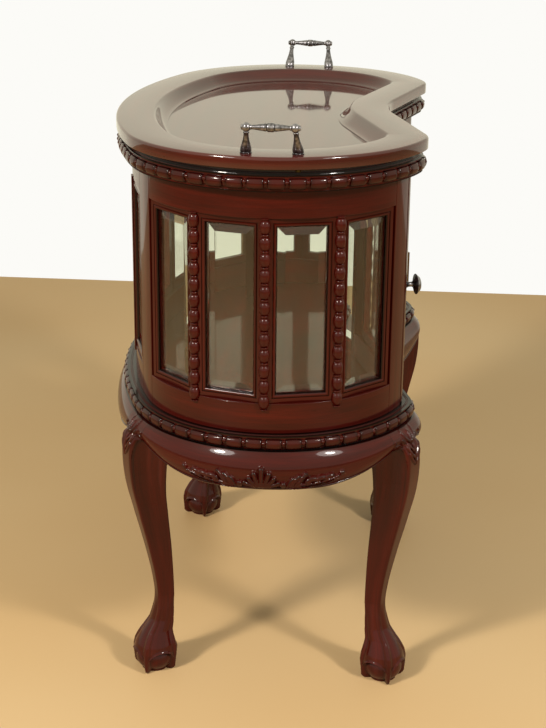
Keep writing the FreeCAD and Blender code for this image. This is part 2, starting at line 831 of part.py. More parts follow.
def back_strip():
    """The plain strip over the joint of two back lights, its flat back on the plane x = 0."""
    wood = box("back_strip_wood", "back_strip_thickness", "back_strip_width", "mullion_length",
               y="0 - back_strip_width / 2")
    return hold("back_strip", [wood])


def curved_window(label, bar, count, half_angle, radius, x, y, facing):
    """Lights, panes and mullions set round an arc of the wall."""
    step = f"(2 * {half_angle} / {count})"
    face_r = f"({radius} * cos({step} / 2))"
    width = f"2 * (({face_r} - sash_thickness) * tan({step} / 2) - sash_gap)"
    frame = light(f"{label}_light", width)
    glass = pane(f"{label}_pane", width)
    sashes = []
    panes = []
    mullions = []
    for i in range(count):
        angle = f"({facing} - {half_angle} + {step} * {i + 0.5})"
        px, py = polar(x, y, face_r, angle)
        sashes.append(copy_of(frame, f"{label}_light_{i}", x=px, y=py, z="z_sill", angle=angle))
        panes.append(copy_of(glass, f"{label}_pane_{i}", x=px, y=py, z="z_sill", angle=angle))
    for i in range(1, count):
        angle = f"({facing} - {half_angle} + {step} * {i})"
        px, py = polar(x, y, radius, angle)
        mullions.append(copy_of(bar, f"{label}_mullion_{i}", x=px, y=py, z="mullion_low", angle=angle))
    group(f"{label}_sashes", sashes)
    group(f"{label}_panes", panes)
    group(f"{label}_mullions", mullions)


# Base: aprons, legs, floor, corner blocks

def apron_outline(radius, depth):
    """Apron section in radius and height: a round face over a flat underside."""
    inner = f"{radius} - {depth}"
    return [
        (inner, "apron_bottom"),
        (f"{radius} + apron_bottom_reach", "apron_bottom"),
        (f"{radius} - apron_top_setback", "z_base", "apron_round_radius", 1),
        (inner, "z_base"),
    ]


def below_knee(share):
    """A height that lies this share of the way from the ankle to the knee."""
    return f"ankle_height + (knee_z - ankle_height) * {share}"


# Leg sections from the sole up: the name of their sizes, and their height
LEG_SECTIONS = [
    ("sole", "0"),
    ("ball", "ankle_height * 0.25"),
    ("claw", "ankle_height * 0.48"),
    ("instep", "ankle_height * 0.71"),
    ("ankle", "ankle_height"),
    ("low_shin", below_knee(0.15)),
    ("shin", below_knee(0.36)),
    ("calf", below_knee(0.575)),
    ("thigh", below_knee(0.79)),
    ("knee", "knee_z"),
    ("leg_top", "z_base"),
]


def leg(label, half_angle, x, y, angle):
    """A cabriole leg; its head fills the gap between two aprons."""
    body = arc_piece(label, apron_outline("end_radius", "leg_head_depth"), half_angle, x, y, angle)
    sections = []
    for name, height in LEG_SECTIONS:
        sketch = sketch_on(body, "XY_Plane", f"{label}_{name}", height)
        middle = V(number(f"end_radius - {name}_inset"), 0, 0)
        circle = sketch.addGeometry(Part.Circle(middle, UP, number(f"{name}_radius")), False)
        sketch.addConstraint(Sketcher.Constraint("PointOnObject", circle, 3, -1))
        drive(sketch, "DistanceX", circle, 3, f"end_radius - {name}_inset")
        drive(sketch, "Radius", circle, f"{name}_radius")
        sections.append(sketch)
    doc.recompute()
    loft = body.newObject("PartDesign::AdditiveLoft", f"{label}_shaft")
    loft.Profile = sections[0]
    loft.Sections = sections[1:]
    doc.recompute()
    node(body)


def leg_spots():
    """Every leg: name, half its angle, the end axis it turns about, and its direction."""
    for side, sign in SIDES:
        x, y, facing = end_place(sign)
        for row, outer, way in (("back", "back_angle", 1), ("front", "front_angle", -1)):
            half = f"({outer} - leg_inner_angle) / 2"
            middle = f"({outer} + leg_inner_angle) / 2"
            yield f"{row}_{side}", half, x, y, f"{facing} + {sign * way} * {middle}"


def front_apron():
    """The apron under the door, from lobe tip to lobe tip, made as two mirrored halves."""
    body = new_body("apron_front")
    line = sketch_on(body, "XY_Plane", "apron_front_line")
    path(line, [
        ("0", "notch_y + notch_radius"),
        (*on_flank("0", "flank_length"), "notch_radius", -1),
        on_flank("0", "0"),
        (*polar("end_x", "end_y", "end_radius", "0 - front_angle"), "tip_radius", 1),
    ], closed=False)
    section = sketch_on(body, "YZ_Plane", "apron_front_section")
    face = "notch_y + notch_radius"
    path(section, [
        (f"{face} + apron_thickness", "apron_bottom"),
        (f"{face} - apron_bottom_reach", "apron_bottom"),
        (f"{face} + apron_top_setback", "z_base", "apron_round_radius", -1),
        (f"{face} + apron_thickness", "z_base"),
    ])
    half = sweep(body, "Additive", "apron_front_half", section, line, ["Edge1", "Edge2", "Edge3"])
    whole = body.newObject("PartDesign::Mirrored", "apron_front_whole")
    whole.Originals = [half]
    whole.MirrorPlane = (origin_feature(body, "YZ_Plane"), [""])
    body.Tip = whole
    doc.recompute()
    node(body)


def base():
    for side, sign in SIDES:
        section = apron_outline("end_radius", "apron_thickness")
        node(arc_piece(f"apron_{side}", section, "leg_inner_angle", *end_place(sign)))
    section = apron_outline("back_radius", "apron_thickness")
    node(arc_piece("apron_back", section, "90 - back_angle", "0", "back_y", "90"))
    front_apron()
    size = "corner_block_size"
    bored = "block_screw_radius + screw_clearance"
    blank = box("corner_block_blank", size, size, size,
                x=f"block_far - {size}", y=f"0 - {size} / 2", z="block_low")
    bore = cylinder("corner_block_bore", bored, f"{size} + 2 * {OVERCUT}",
                    x="block_middle", z=f"block_low - {OVERCUT}")
    block = cut("corner_block", blank, bore)
    shank = cylinder("block_screw_shank", "block_screw_radius", f"{size} + block_screw_bite",
                     x="block_middle", z="block_low")
    head = cylinder("block_screw_head", "block_screw_head_radius", "block_screw_head_height",
                    x="block_middle", z="block_low - block_screw_head_height")
    screw = fuse("block_screw", [shank, head])
    pilot = cylinder("floor_pilot_bar", bored, f"block_screw_bite + screw_end_gap + {OVERCUT}",
                     x="block_middle", z=f"z_base - {OVERCUT}")
    pilot = hold("floor_pilot", [pilot])
    blocks = []
    screws = []
    pilots = []
    for name, half, x, y, angle in leg_spots():
        leg(f"leg_{name}", half, x, y, angle)
        spot = dict(x=x, y=y, angle=angle)
        blocks.append(copy_of(block, f"corner_block_{name}", **spot))
        screws.append(copy_of(screw, f"block_screw_{name}", **spot))
        pilots.append(copy_of(pilot, f"floor_pilot_{name}", **spot))
    group("corner_blocks", blocks)
    group("corner_block_screws", screws)
    blank = plate("cabinet_floor_blank", "plate_inset + plate_clearance", "z_base", "z_wall")
    node(cut("cabinet_floor", blank, fuse("floor_pilots", pilots)), "cabinet_floor")


# Door: stiles round the lobe tips, rails through the notch, three flat lights

def stile_blank(side, sign):
    body = new_body(f"door_{side}_stile_blank")
    sketch = sketch_on(body, "XY_Plane", f"door_{side}_stile_plan", "door_low")
    faces = []
    for inset in ("wall_inset", "inner_inset"):
        faces.append((
            polar("end_x", "end_y", f"end_radius - {inset}", "0 - front_angle", sign),
            on_flank(inset, "0", sign),
            on_flank(inset, "door_stile_flat", sign),
            f"tip_radius - {inset}",
        ))
    outer, inner = faces
    path(sketch, [
        outer[0],
        (*outer[1], outer[3], -sign),
        outer[2],
        inner[2],
        inner[1],
        (*inner[0], inner[3], sign),
    ])
    pad(body, sketch, "door_high - door_low")
    return body


def door_rail(label, low, high):
    body = new_body(label)
    sketch = sketch_on(body, "XY_Plane", f"{label}_plan", low)
    corners = []
    for inset in ("wall_inset", "inner_inset"):
        right, left = [[on_flank(inset, along, sign) for along in ("door_stile_flat", "flank_length")]
                       for sign in (1, -1)]
        corners.append((right, left, f"notch_radius + {inset}"))
    (right, left, outer_r), (right_in, left_in, inner_r) = corners
    path(sketch, [
        right[0],
        right[1],
        (*left[1], outer_r, 1),
        left[0],
        left_in[0],
        left_in[1],
        (*right_in[1], inner_r, -1),
        right_in[0],
    ])
    pad(body, sketch, f"{high} - {low}")
    node(body)


def knob():
    """A mushroom knob on a flared foot, turned about X, with a blind screw hole."""
    body = new_body("knob_turning")
    sketch = sketch_on(body, "XZ_Plane", "knob_section")
    hole = "screw_radius + screw_clearance"
    flare = "(knob_foot_length + knob_flare_length)"
    neck = f"({flare} + knob_neck_length)"
    under = f"({neck} + knob_under_length)"
    rim = f"({under} + knob_rim_thickness)"
    crown_r = "(knob_head_radius ^ 2 + knob_crown_height ^ 2) / (2 * knob_crown_height)"
    path(sketch, [
        ("0", hole),
        ("0", "knob_base_radius"),
        ("knob_foot_length", "knob_base_radius"),
        (flare, "knob_neck_radius", "knob_flare_radius", 1),
        (neck, "knob_neck_radius"),
        (under, "knob_head_radius", "knob_under_radius", 1),
        (rim, "knob_head_radius"),
        (f"{rim} + knob_crown_height", "0", crown_r, -1),
        ("screw_bite", "0"),
        ("screw_bite", hole),
    ])
    revolve(body, sketch, "360", axis="X_Axis", midplane=False)
    return body


def door_windows(turning):
    """Two lights along the flanks, one across the notch, and a mullion between each pair."""
    flank_width = "(flank_length - door_stile_flat - door_light_trim - sash_gap)"
    notch_width = "2 * ((notch_radius + inner_inset) * cos(flank_angle) - mullion_radius - sash_gap)"
    inset = "wall_inset + door_light_setback"
    # The wall is hollow beside the mullion's flat back, which clears it by the hollow's rise
    mullion_inset = "wall_inset - mullion_radius ^ 2 / (notch_radius + wall_inset)"
    along = f"door_stile_flat + sash_gap + {flank_width} / 2"
    frame = light("door_flank_light", flank_width)
    glass = pane("door_flank_pane", flank_width)
    sashes = []
    panes = []
    mullions = []
    for side, sign in SIDES:
        angle = "flank_angle + 180" if sign > 0 else "0 - flank_angle"
        x, y = on_flank(inset, along, sign)
        sashes.append(copy_of(frame, f"door_{side}_light", x=x, y=y, z="z_sill", angle=angle))
        panes.append(copy_of(glass, f"door_{side}_pane", x=x, y=y, z="z_sill", angle=angle))
        x, y = on_flank(mullion_inset, "flank_length", sign)
        mullions.append(copy_of(turning, f"door_{side}_mullion", x=x, y=y, z="mullion_low", angle=angle))
    frame = light("door_notch_light", notch_width)
    glass = pane("door_notch_pane", notch_width)
    spot = dict(y=f"notch_y + notch_radius + {inset}", z="z_sill", angle="0 - 90")
    sashes.append(copy_of(frame, "door_middle_light", **spot))
    panes.append(copy_of(glass, "door_middle_pane", **spot))
    group("door_sashes", sashes)
    group("door_panes", panes)
    group("door_mullions", mullions)


def door(turning):
    """All of the door but its hinges; gives the hinge stile's blank."""
    x, y = on_flank("wall_inset", "knob_offset", -1)
    spot = dict(x=x, y=y, z="knob_z", angle="0 - flank_angle")
    across = dict(axis=V(0, 1, 0), angle=90)
    hole = cylinder("knob_hole_bar", "screw_radius + screw_clearance", f"wall_thickness + 2 * {OVERCUT}",
                    x=f"0 - wall_thickness - {OVERCUT}", **across)
    tool = copy_of(hold("knob_hole", [hole]), "knob_hole_in_stile", **spot)
    node(cut("door_left_stile", stile_blank("left", -1), tool), "door_left_stile")
    door_rail("door_top_rail", "z_head", "door_high")
    door_rail("door_bottom_rail", "door_low", "z_sill")
    door_windows(turning)
    group("door_knob", [copy_of(knob(), "knob_on_stile", **spot)])
    shank = cylinder("knob_screw_shank", "screw_radius", "wall_thickness + screw_bite - screw_end_gap",
                     x="0 - wall_thickness", **across)
    head = cylinder("knob_screw_head", "screw_head_radius", "screw_head_height",
                    x="0 - wall_thickness - screw_head_height", **across)
    group("knob_screw", [copy_of(fuse("knob_screw_turning", [shank, head]), "knob_screw_in_stile", **spot)])
    return stile_blank("right", 1)


# Hinges and catch

def hinge_bars(name, way, radius, start, length):
    """Two bars side by side through a leaf, pointing into the wood behind it."""
    bars = []
    for i in (-1, 1):
        bars.append(cylinder(f"{name}_{'low' if i < 0 else 'high'}", radius, length,
                             x="leaf_start + hinge_leaf_width / 2", y=f"{way} * ({start})",
                             z=f"hinge_height / 2 + {i} * hinge_screw_pitch / 2",
                             axis=V(1, 0, 0), angle=-90 * way))
    return bars


def leaf(name, way, knuckles):
    """One leaf: a plate lying in the door gap, with its knuckles round the pin's axis."""
    low_y = "hinge_leaf_gap" if way > 0 else "0 - hinge_leaf_gap - hinge_leaf_thickness"
    bored = "hinge_pin_radius + hinge_pin_clearance"
    pieces = [box(f"{name}_plate", "hinge_leaf_width", "hinge_leaf_thickness", "hinge_height",
                  x="leaf_start", y=low_y)]
    for i in knuckles:
        low = f"(hinge_height / 3 * {i}{' + hinge_knuckle_gap' if i > 0 else ''})"
        high = f"(hinge_height / 3 * {i + 1}{' - hinge_knuckle_gap' if i < 2 else ''})"
        pieces.append(box(f"{name}_tab_{i}", f"0 - leaf_start - ({bored})", "hinge_leaf_thickness",
                          f"{high} - {low}", x="leaf_start", y=low_y, z=low))
        pieces.append(cylinder(f"{name}_knuckle_{i}", "hinge_barrel_radius", f"{high} - {low}", z=low))
    holes = [cylinder(f"{name}_bore", bored, f"hinge_height + 2 * {OVERCUT}", z=f"0 - {OVERCUT}")]
    holes += hinge_bars(f"{name}_hole", way, "hinge_screw_head_radius + screw_clearance", "0",
                        "hinge_leaf_gap + hinge_leaf_thickness + hinge_leaf_gap")
    return cut(name, fuse(f"{name}_solid", pieces), fuse(f"{name}_holes", holes))


def hinge_screws(name, way):
    """The two screws of one leaf, their heads flush in the plate."""
    heads = hinge_bars(f"{name}_head", way, "hinge_screw_head_radius", "hinge_leaf_gap",
                       "hinge_leaf_thickness")
    shanks = hinge_bars(f"{name}_shank", way, "hinge_screw_radius", "hinge_leaf_gap",
                        "hinge_leaf_thickness + hinge_screw_bite")
    return hold(name, [fuse(f"{name}_{i}", pair) for i, pair in enumerate(zip(heads, shanks))])


def hinges(post, stile):
    x, y = polar("end_x", "end_y", "hinge_radius", "hinge_angle")
    lows = ("z_wall + hinge_inset - hinge_height / 2", "z_top - hinge_inset - hinge_height / 2")

    def at_both(item, label):
        return [copy_of(item, f"{label}_{i}", x=x, y=y, z=low, angle="hinge_angle")
                for i, low in enumerate(lows)]

    pin = hold("hinge_pin", [cylinder("hinge_pin_bar", "hinge_pin_radius", "hinge_height")])
    group("hinge_pins", at_both(pin, "hinge_pins"))
    for name, way, knuckles, wood, label in (("post", 1, (0, 2), post, "front_right_post"),
                                             ("door", -1, (1,), stile, "door_right_stile")):
        group(f"hinge_{name}_leaves", at_both(leaf(f"{name}_leaf", way, knuckles), f"{name}_leaf_at"))
        group(f"hinge_{name}_screws", at_both(hinge_screws(f"{name}_screw", way), f"{name}_screw_at"))
        bars = hinge_bars(f"{name}_pilot", way, "hinge_screw_radius + screw_clearance", "0",
                          "hinge_leaf_gap + hinge_screw_bite + 2 * screw_end_gap")
        pilots = at_both(hold(f"{name}_pilots", bars), f"{name}_pilots_at")
        node(cut(f"{label}_drilled", wood, fuse(f"{label}_pilots", pilots)), label)


def catch():
    """A magnet block under the top, behind the door, and the plate it meets on the door."""
    x, y = on_flank("wall_inset", "door_stile_flat + catch_width", -1)
    spot = dict(x=x, y=y, z="z_top - catch_height", angle="0 - flank_angle")
    block = box("catch_block", "catch_depth", "catch_width", "catch_height",
                x="0 - wall_thickness - strike_thickness - catch_gap - catch_depth", y="0 - catch_width / 2")
    strike = box("strike_plate", "strike_thickness", "catch_width", "catch_height - door_gap",
                 x="0 - wall_thickness - strike_thickness", y="0 - catch_width / 2")
    group("door_catch", [copy_of(hold("catch_body", [block]), "catch_under_top", **spot)])
    group("catch_strike", [copy_of(hold("strike_body", [strike]), "strike_on_door", **spot)])


def build():
    tray()
    post = carcass()
    turning = mullion()
    for side, sign in SIDES:
        curved_window(f"{side}_window", turning, END_LIGHTS, "end_window_angle", "wall_end_radius",
                      *end_place(sign))
    curved_window("back_window", back_strip(), BACK_LIGHTS, "back_window_angle", "wall_back_radius",
                  "0", "back_y", "90")
    base()
    stile = door(turning)
    hinges(post, stile)
    catch()
    doc.recompute()


def check_and_write():
    bad = [item.Label for item in doc.Objects if "Invalid" in item.State or "Error" in item.State]
    if bad:
        raise RuntimeError(f"failed objects: {bad}")
    for item in NODES:
        shape = item.Shape
        if shape.isNull() or not shape.isValid() or not shape.Solids:
            raise RuntimeError(f"bad shape: {item.Label}")
    for item in NODES:
        item.Shape.exportStep(f"parts/{item.Label}.step")
    print(f"wrote {len(NODES)} nodes, {sum(len(item.Shape.Solids) for item in NODES)} solids")


build()
check_and_write()
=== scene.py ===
import json
import math

import bmesh
import bpy
import numpy as np
from mathutils import Matrix, Vector


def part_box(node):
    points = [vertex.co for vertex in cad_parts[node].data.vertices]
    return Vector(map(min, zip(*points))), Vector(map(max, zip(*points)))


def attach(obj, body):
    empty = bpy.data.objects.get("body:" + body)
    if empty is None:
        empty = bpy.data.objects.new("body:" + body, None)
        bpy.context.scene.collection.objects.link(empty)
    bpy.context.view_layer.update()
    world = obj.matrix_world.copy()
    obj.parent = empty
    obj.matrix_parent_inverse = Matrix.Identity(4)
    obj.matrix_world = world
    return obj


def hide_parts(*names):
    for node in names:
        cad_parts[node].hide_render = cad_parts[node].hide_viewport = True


# A kidney-shaped glazed cabinet in polished mahogany on ball-and-claw legs, with a lift-off tray.
# Lengths are in millimetres in the CAD frame and become metres where a mesh is made.

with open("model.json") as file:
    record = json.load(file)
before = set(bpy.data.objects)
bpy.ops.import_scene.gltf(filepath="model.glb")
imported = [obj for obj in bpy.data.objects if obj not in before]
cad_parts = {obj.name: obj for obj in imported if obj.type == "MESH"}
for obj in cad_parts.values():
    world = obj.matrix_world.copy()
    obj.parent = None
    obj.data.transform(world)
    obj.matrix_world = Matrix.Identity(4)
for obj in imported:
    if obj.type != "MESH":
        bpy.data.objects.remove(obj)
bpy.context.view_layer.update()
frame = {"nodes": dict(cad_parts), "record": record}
MM = 0.001
# The object's two ends, each with the sign of its x
SIDES = (("left", -1), ("right", 1))


def level(node, end):
    """Height of a CAD node's bottom (0) or top (1)."""
    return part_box(node)[end].z / MM


# Plan outline: two end circles, a long back arc, two lobe tips, straight flanks and a notch
TRAY_LENGTH = 2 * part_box("tray_rim")[1].x / MM
TRAY_WIDTH = 2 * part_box("tray_rim")[1].y / MM
BACK_FALL = 32
TIP_OVERREACH = 7
TIP_RADIUS = 60
NOTCH_RADIUS = 180
NOTCH_DEPTH = 53.5
END_RADIUS = (TRAY_WIDTH - BACK_FALL + TIP_OVERREACH) / 2
END = np.array([TRAY_LENGTH / 2 - END_RADIUS, TRAY_WIDTH / 2 - BACK_FALL - END_RADIUS])
BACK_RISE = TRAY_WIDTH / 2 - END[1]
BACK_RADIUS = (END[0] ** 2 + BACK_RISE ** 2 - END_RADIUS ** 2) / (2 * BACK_FALL)
BACK = np.array([0, TRAY_WIDTH / 2 - BACK_RADIUS])
NOTCH = np.array([0, NOTCH_DEPTH - TRAY_WIDTH / 2 - NOTCH_RADIUS])
BACK_ANGLE = math.atan2(END[1] - BACK[1], END[0])

# Heights
Z_SEAT = level("tray_rim", 0)
Z_RIM = level("tray_rim", 1)
Z_PANEL = level("tray_panel", 1)
Z_TOP = level("sub_top", 0)
Z_WALL = level("cabinet_floor", 1)
Z_BASE = level("cabinet_floor", 0)
Z_APRON = level("apron_left", 0)
Z_SILL = level("bottom_rail_left", 1)
Z_HEAD = level("top_rail_left", 0)
DOOR_LOW = level("door_bottom_rail", 0)
DOOR_HIGH = level("door_top_rail", 1)

# Wall and windows
WALL_INSET = 20
WALL_THICKNESS = 22
INNER_INSET = WALL_INSET + WALL_THICKNESS
DOOR_GAP = 2.2
FRONT_POST_WIDTH = 35
BACK_POST_WIDTH = 20
END_LIGHTS = 4
BACK_LIGHTS = 5
SASH_THICKNESS = 14
SASH_BAR = 12
SASH_GAP = 0.2
PANE_THICKNESS = 4
PANE_SETBACK = 4
PANE_BEVEL = 10
PANE_BEVEL_DEPTH = 2.2
MULLION_RADIUS = 7
MULLION_BEADS = 12
MULLION_LOW = level("left_window_mullions", 0)
MULLION_LENGTH = level("left_window_mullions", 1) - MULLION_LOW
BACK_STRIP_WIDTH = 14
BACK_STRIP_THICKNESS = 2
LIGHT_HEIGHT = Z_HEAD - Z_SILL
WALL_END_RADIUS = END_RADIUS - WALL_INSET
WALL_BACK_RADIUS = BACK_RADIUS - WALL_INSET

# Tray: a rim on a narrower foot, round a recess
RIM_WIDTH = 52
RECESS_CORNER = 30
RECESS_TIP = RIM_WIDTH + RECESS_CORNER
TRAY_FOOT_INSET = 18
TRAY_FOOT_HEIGHT = 8
SEAT_INSET = 60
Z_EDGE = Z_SEAT + TRAY_FOOT_HEIGHT

# How far apart the points of a plan line lie where it is plain and where it is carved
PLAN_STEP = 3.0
CARVING_STEP = 0.8
FLANK_POINTS = 10


# Plan geometry

def polar(centre, radius, angle):
    """A point on a circle."""
    return np.array([centre[0] + radius * math.cos(angle), centre[1] + radius * math.sin(angle)])


def lobe(tip=TIP_RADIUS):
    """Centre of the right lobe tip's circle, the angle where it begins, and the flank's normal angle."""
    y = tip - TRAY_WIDTH / 2
    fall = END[1] - y
    reach = math.sqrt((END_RADIUS - tip) ** 2 - fall ** 2)
    centre = np.array([END[0] + reach, y])
    away = centre - NOTCH
    lean = math.acos((NOTCH_RADIUS + tip) / np.hypot(*away))
    return centre, math.atan2(fall, reach), math.atan2(away[1], away[0]) + lean


LOBE, FRONT_ANGLE, FLANK_ANGLE = lobe()
FLANK_NORMAL = np.array([math.cos(FLANK_ANGLE), math.sin(FLANK_ANGLE)])
FLANK_LENGTH = math.sqrt(np.sum((LOBE - NOTCH) ** 2) - (NOTCH_RADIUS + TIP_RADIUS) ** 2)
GAP_ANGLE = DOOR_GAP / WALL_END_RADIUS
END_WINDOW = FRONT_ANGLE - GAP_ANGLE - FRONT_POST_WIDTH / WALL_END_RADIUS
BACK_WINDOW = math.pi / 2 - BACK_ANGLE - BACK_POST_WIDTH / WALL_BACK_RADIUS


def arc(centre, radius, start, stop, step=PLAN_STEP, span=None):
    """Points along an arc about a step apart; a span given fixes their number whatever the radius is."""
    span = span or radius * abs(stop - start)
    count = max(2, round(span / step)) + 1
    return [polar(centre, radius, a) for a in np.linspace(start, stop, count)]


BACK_SPAN = BACK_RADIUS * (math.pi / 2 - BACK_ANGLE)
END_SPAN = END_RADIUS * (BACK_ANGLE + FRONT_ANGLE)
TIP_SPAN = 2 * TIP_RADIUS * (math.pi - FLANK_ANGLE - FRONT_ANGLE)
NOTCH_SPAN = NOTCH_RADIUS * (math.pi / 2 - FLANK_ANGLE)


def half_outline(inset, tip, step):
    """The right half of the outline, from the middle of the back to the middle of the notch. Lines of any
    inset and tip radius match point for point."""
    centre, front, flank = lobe(tip)
    stretches = [
        arc(BACK, BACK_RADIUS - inset, math.pi / 2, BACK_ANGLE, step, BACK_SPAN),
        arc(END, END_RADIUS - inset, BACK_ANGLE, -front, step, END_SPAN),
        arc(centre, tip - inset, -front, flank - math.pi, step, TIP_SPAN),
        arc(NOTCH, NOTCH_RADIUS + inset, flank, math.pi / 2, step, NOTCH_SPAN),
    ]
    start = stretches[2][-1]
    stop = stretches[3][0]
    run = [start + (stop - start) * t for t in np.linspace(0, 1, FLANK_POINTS)]
    points = stretches[0]
    for stretch in (stretches[1], stretches[2], run, stretches[3]):
        points = points + stretch[1:]
    return points


def kidney(inset, tip=TIP_RADIUS, step=PLAN_STEP):
    """The closed plan outline moved inwards, as an array of points."""
    right = half_outline(inset, tip, step)
    left = [np.array([-x, y]) for x, y in right[-2:0:-1]]
    return np.array(right + left)


def on_flank(inset, along, sign=1):
    """A point on a flank, counted from the lobe tip towards the notch."""
    point = LOBE - FLANK_NORMAL * (TIP_RADIUS - inset)
    point = point + np.array([-FLANK_NORMAL[1], FLANK_NORMAL[0]]) * along
    return np.array([sign * point[0], point[1]])


def end_place(sign):
    """Middle of an end's circle, and the direction in which that end faces."""
    return np.array([sign * END[0], END[1]]), 0 if sign > 0 else math.pi


def mirrored(points, sign):
    """The points on the right side, or their mirror image on the left in the reverse order."""
    if sign > 0:
        return list(points)
    return [np.array([-p[0], *p[1:]]) for p in reversed(points)]


def progress(value, start, stop):
    """How far a value has come on its way from start to stop, from 0 to 1."""
    return np.clip((value - start) / (stop - start), 0, 1)


def lengths_along(points):
    """Distance of each point of a line from the line's start."""
    return np.concatenate([[0], np.cumsum(np.linalg.norm(np.diff(points, axis=0), axis=1))])


def curve_through(points, steps=10):
    """A smooth line through the points, bent like a flexible rule."""
    points = np.array(points, float)
    padded = np.vstack([2 * points[0] - points[1], points, 2 * points[-1] - points[-2]])
    line = []
    for a, b, c, d in zip(padded, padded[1:], padded[2:], padded[3:]):
        for t in np.arange(steps) / steps:
            line.append(0.5 * (2 * b + (c - a) * t + (2 * a - 5 * b + 4 * c - d) * t ** 2
                               + (3 * b - a - 3 * c + d) * t ** 3))
    line.append(points[-1])
    return np.array(line)


def softened(points, radius, steps=3):
    """A closed outline with its corners rounded."""
    points = [np.array(p, float) for p in points]
    line = []
    for i, corner in enumerate(points):
        before = points[i - 1] - corner
        after = points[(i + 1) % len(points)] - corner
        start = corner + before / np.hypot(*before) * radius
        stop = corner + after / np.hypot(*after) * radius
        for t in np.linspace(0, 1, steps + 1):
            line.append(start * (1 - t) ** 2 + corner * 2 * t * (1 - t) + stop * t ** 2)
    return np.array(line)


# Meshes

def new_mesh(name, vertices, faces, uvs, sharp):
    """A mesh object from points in millimetres. Its uvs follow the grain, in metres, and edges that turn by
    more than sharp degrees stay crisp."""
    mesh = bpy.data.meshes.new(name)
    mesh.from_pydata([[c * MM for c in v] for v in vertices], [], faces)
    layer = mesh.uv_layers.new(name="grain")
    layer.data.foreach_set("uv", np.array(uvs, np.float32).ravel())
    mesh.validate()
    mesh.shade_smooth()
    mesh.set_sharp_from_angle(angle=math.radians(sharp))
    item = bpy.data.objects.new(name, mesh)
    bpy.context.scene.collection.objects.link(item)
    return item


def grid(name, points, loop_rows=False, loop_columns=False, cap_rows=False, cap_columns=False,
         along_columns=True, sharp=32):
    """A sheet through rows of points. The grain runs along each row, or across the rows."""
    points = np.array(points, float)
    rows, columns = points.shape[:2]
    across = np.linalg.norm(np.diff(points, axis=0, append=points[:1]), axis=2).mean(1)
    along = np.linalg.norm(np.diff(points, axis=1, append=points[:, :1]), axis=2).mean(0)
    v = np.concatenate([[0], np.cumsum(across)]) * MM
    u = np.concatenate([[0], np.cumsum(along)]) * MM
    faces = []
    uvs = []

    def corner(i, j):
        uvs.append((u[j], v[i]) if along_columns else (v[i], u[j]))
        return (i % rows) * columns + j % columns

    for i in range(rows if loop_rows else rows - 1):
        for j in range(columns if loop_columns else columns - 1):
            faces.append([corner(i, j), corner(i, j + 1), corner(i + 1, j + 1), corner(i + 1, j)])
    if cap_rows:
        faces.append([corner(0, j) for j in reversed(range(columns))])
        faces.append([corner(rows - 1, j) for j in range(columns)])
    if cap_columns:
        faces.append([corner(i, 0) for i in range(rows)])
        faces.append([corner(i, columns - 1) for i in reversed(range(rows))])
    return new_mesh(name, points.reshape(-1, 3), faces, uvs, sharp)


EASED_EDGE = 0.8
EASED_ANGLE = math.radians(35)


def slab(name, plan, low, high, upright=False):
    """An upright prism over a plan outline, its sharp edges eased the way sanding does."""
    rows = [[(*p, z) for p in plan] for z in (low, high)]
    item = grid(name, rows, loop_columns=True, cap_rows=True, along_columns=not upright)
    modifier = item.modifiers.new("eased_edges", "BEVEL")
    modifier.width = EASED_EDGE * MM
    modifier.segments = 2
    modifier.limit_method = "ANGLE"
    modifier.angle_limit = EASED_ANGLE
    modifier.harden_normals = True
    return item


def joined(name, items):
    """Several meshes as one piece."""
    sheet = bmesh.new()
    for item in items:
        sheet.from_mesh(item.data)
        bpy.data.objects.remove(item)
    mesh = bpy.data.meshes.new(name)
    sheet.to_mesh(mesh)
    sheet.free()
    item = bpy.data.objects.new(name, mesh)
    bpy.context.scene.collection.objects.link(item)
    return item


def lathe(name, profile, count=32, half=False, sharp=40):
    """A turning about +Z, whole or cut in half along its axis; the profile is in radius and height."""
    if half:
        angles = np.linspace(-math.pi / 2, math.pi / 2, count)
    else:
        angles = np.linspace(0, 2 * math.pi, count, endpoint=False)
    rows = [[(r * math.cos(a), r * math.sin(a), z) for a in angles] for r, z in profile]
    return grid(name, rows, loop_columns=True, cap_rows=True, along_columns=False, sharp=sharp)


def ball_profile(radius, count, end):
    """A ball's outline for the lathe; it ends this angle from the ball's middle, just short of its poles."""
    return [(radius * math.cos(t), radius * math.sin(t)) for t in np.linspace(-end, end, count)]


def ring(name, rows):
    """A moulding run right round the plan outline; each row is (inset, height, tip radius)."""
    lines = [[(*p, z) for p in kidney(inset, tip)] for inset, z, tip in rows]
    return grid(name, lines, loop_rows=True, loop_columns=True)


def stood(item, x, y, z, angle=0):
    """Moves a mesh to its place, turned about the vertical."""
    item.data.transform(Matrix.Translation(Vector((x, y, z)) * MM) @ Matrix.Rotation(angle, 4, "Z"))
    return item


# Materials

# Sockets of a colour Mix node, which shares their names with other kinds of value
FACTOR = 0
UNDER = 6
OVER = 7
MIXED = 2
# A stain, a patina, dark glazing or painted shade darkens the colour that it lies over
STAIN_AND_SHADE_BLEND = {"data_type": "RGBA", "blend_type": "MULTIPLY"}


def linear(code):
    """Linear colour of an sRGB hex value."""
    channels = [int(code[i:i + 2], 16) / 255 for i in (1, 3, 5)]
    return (*[c / 12.92 if c <= 0.04045 else ((c + 0.055) / 1.055) ** 2.4 for c in channels], 1)


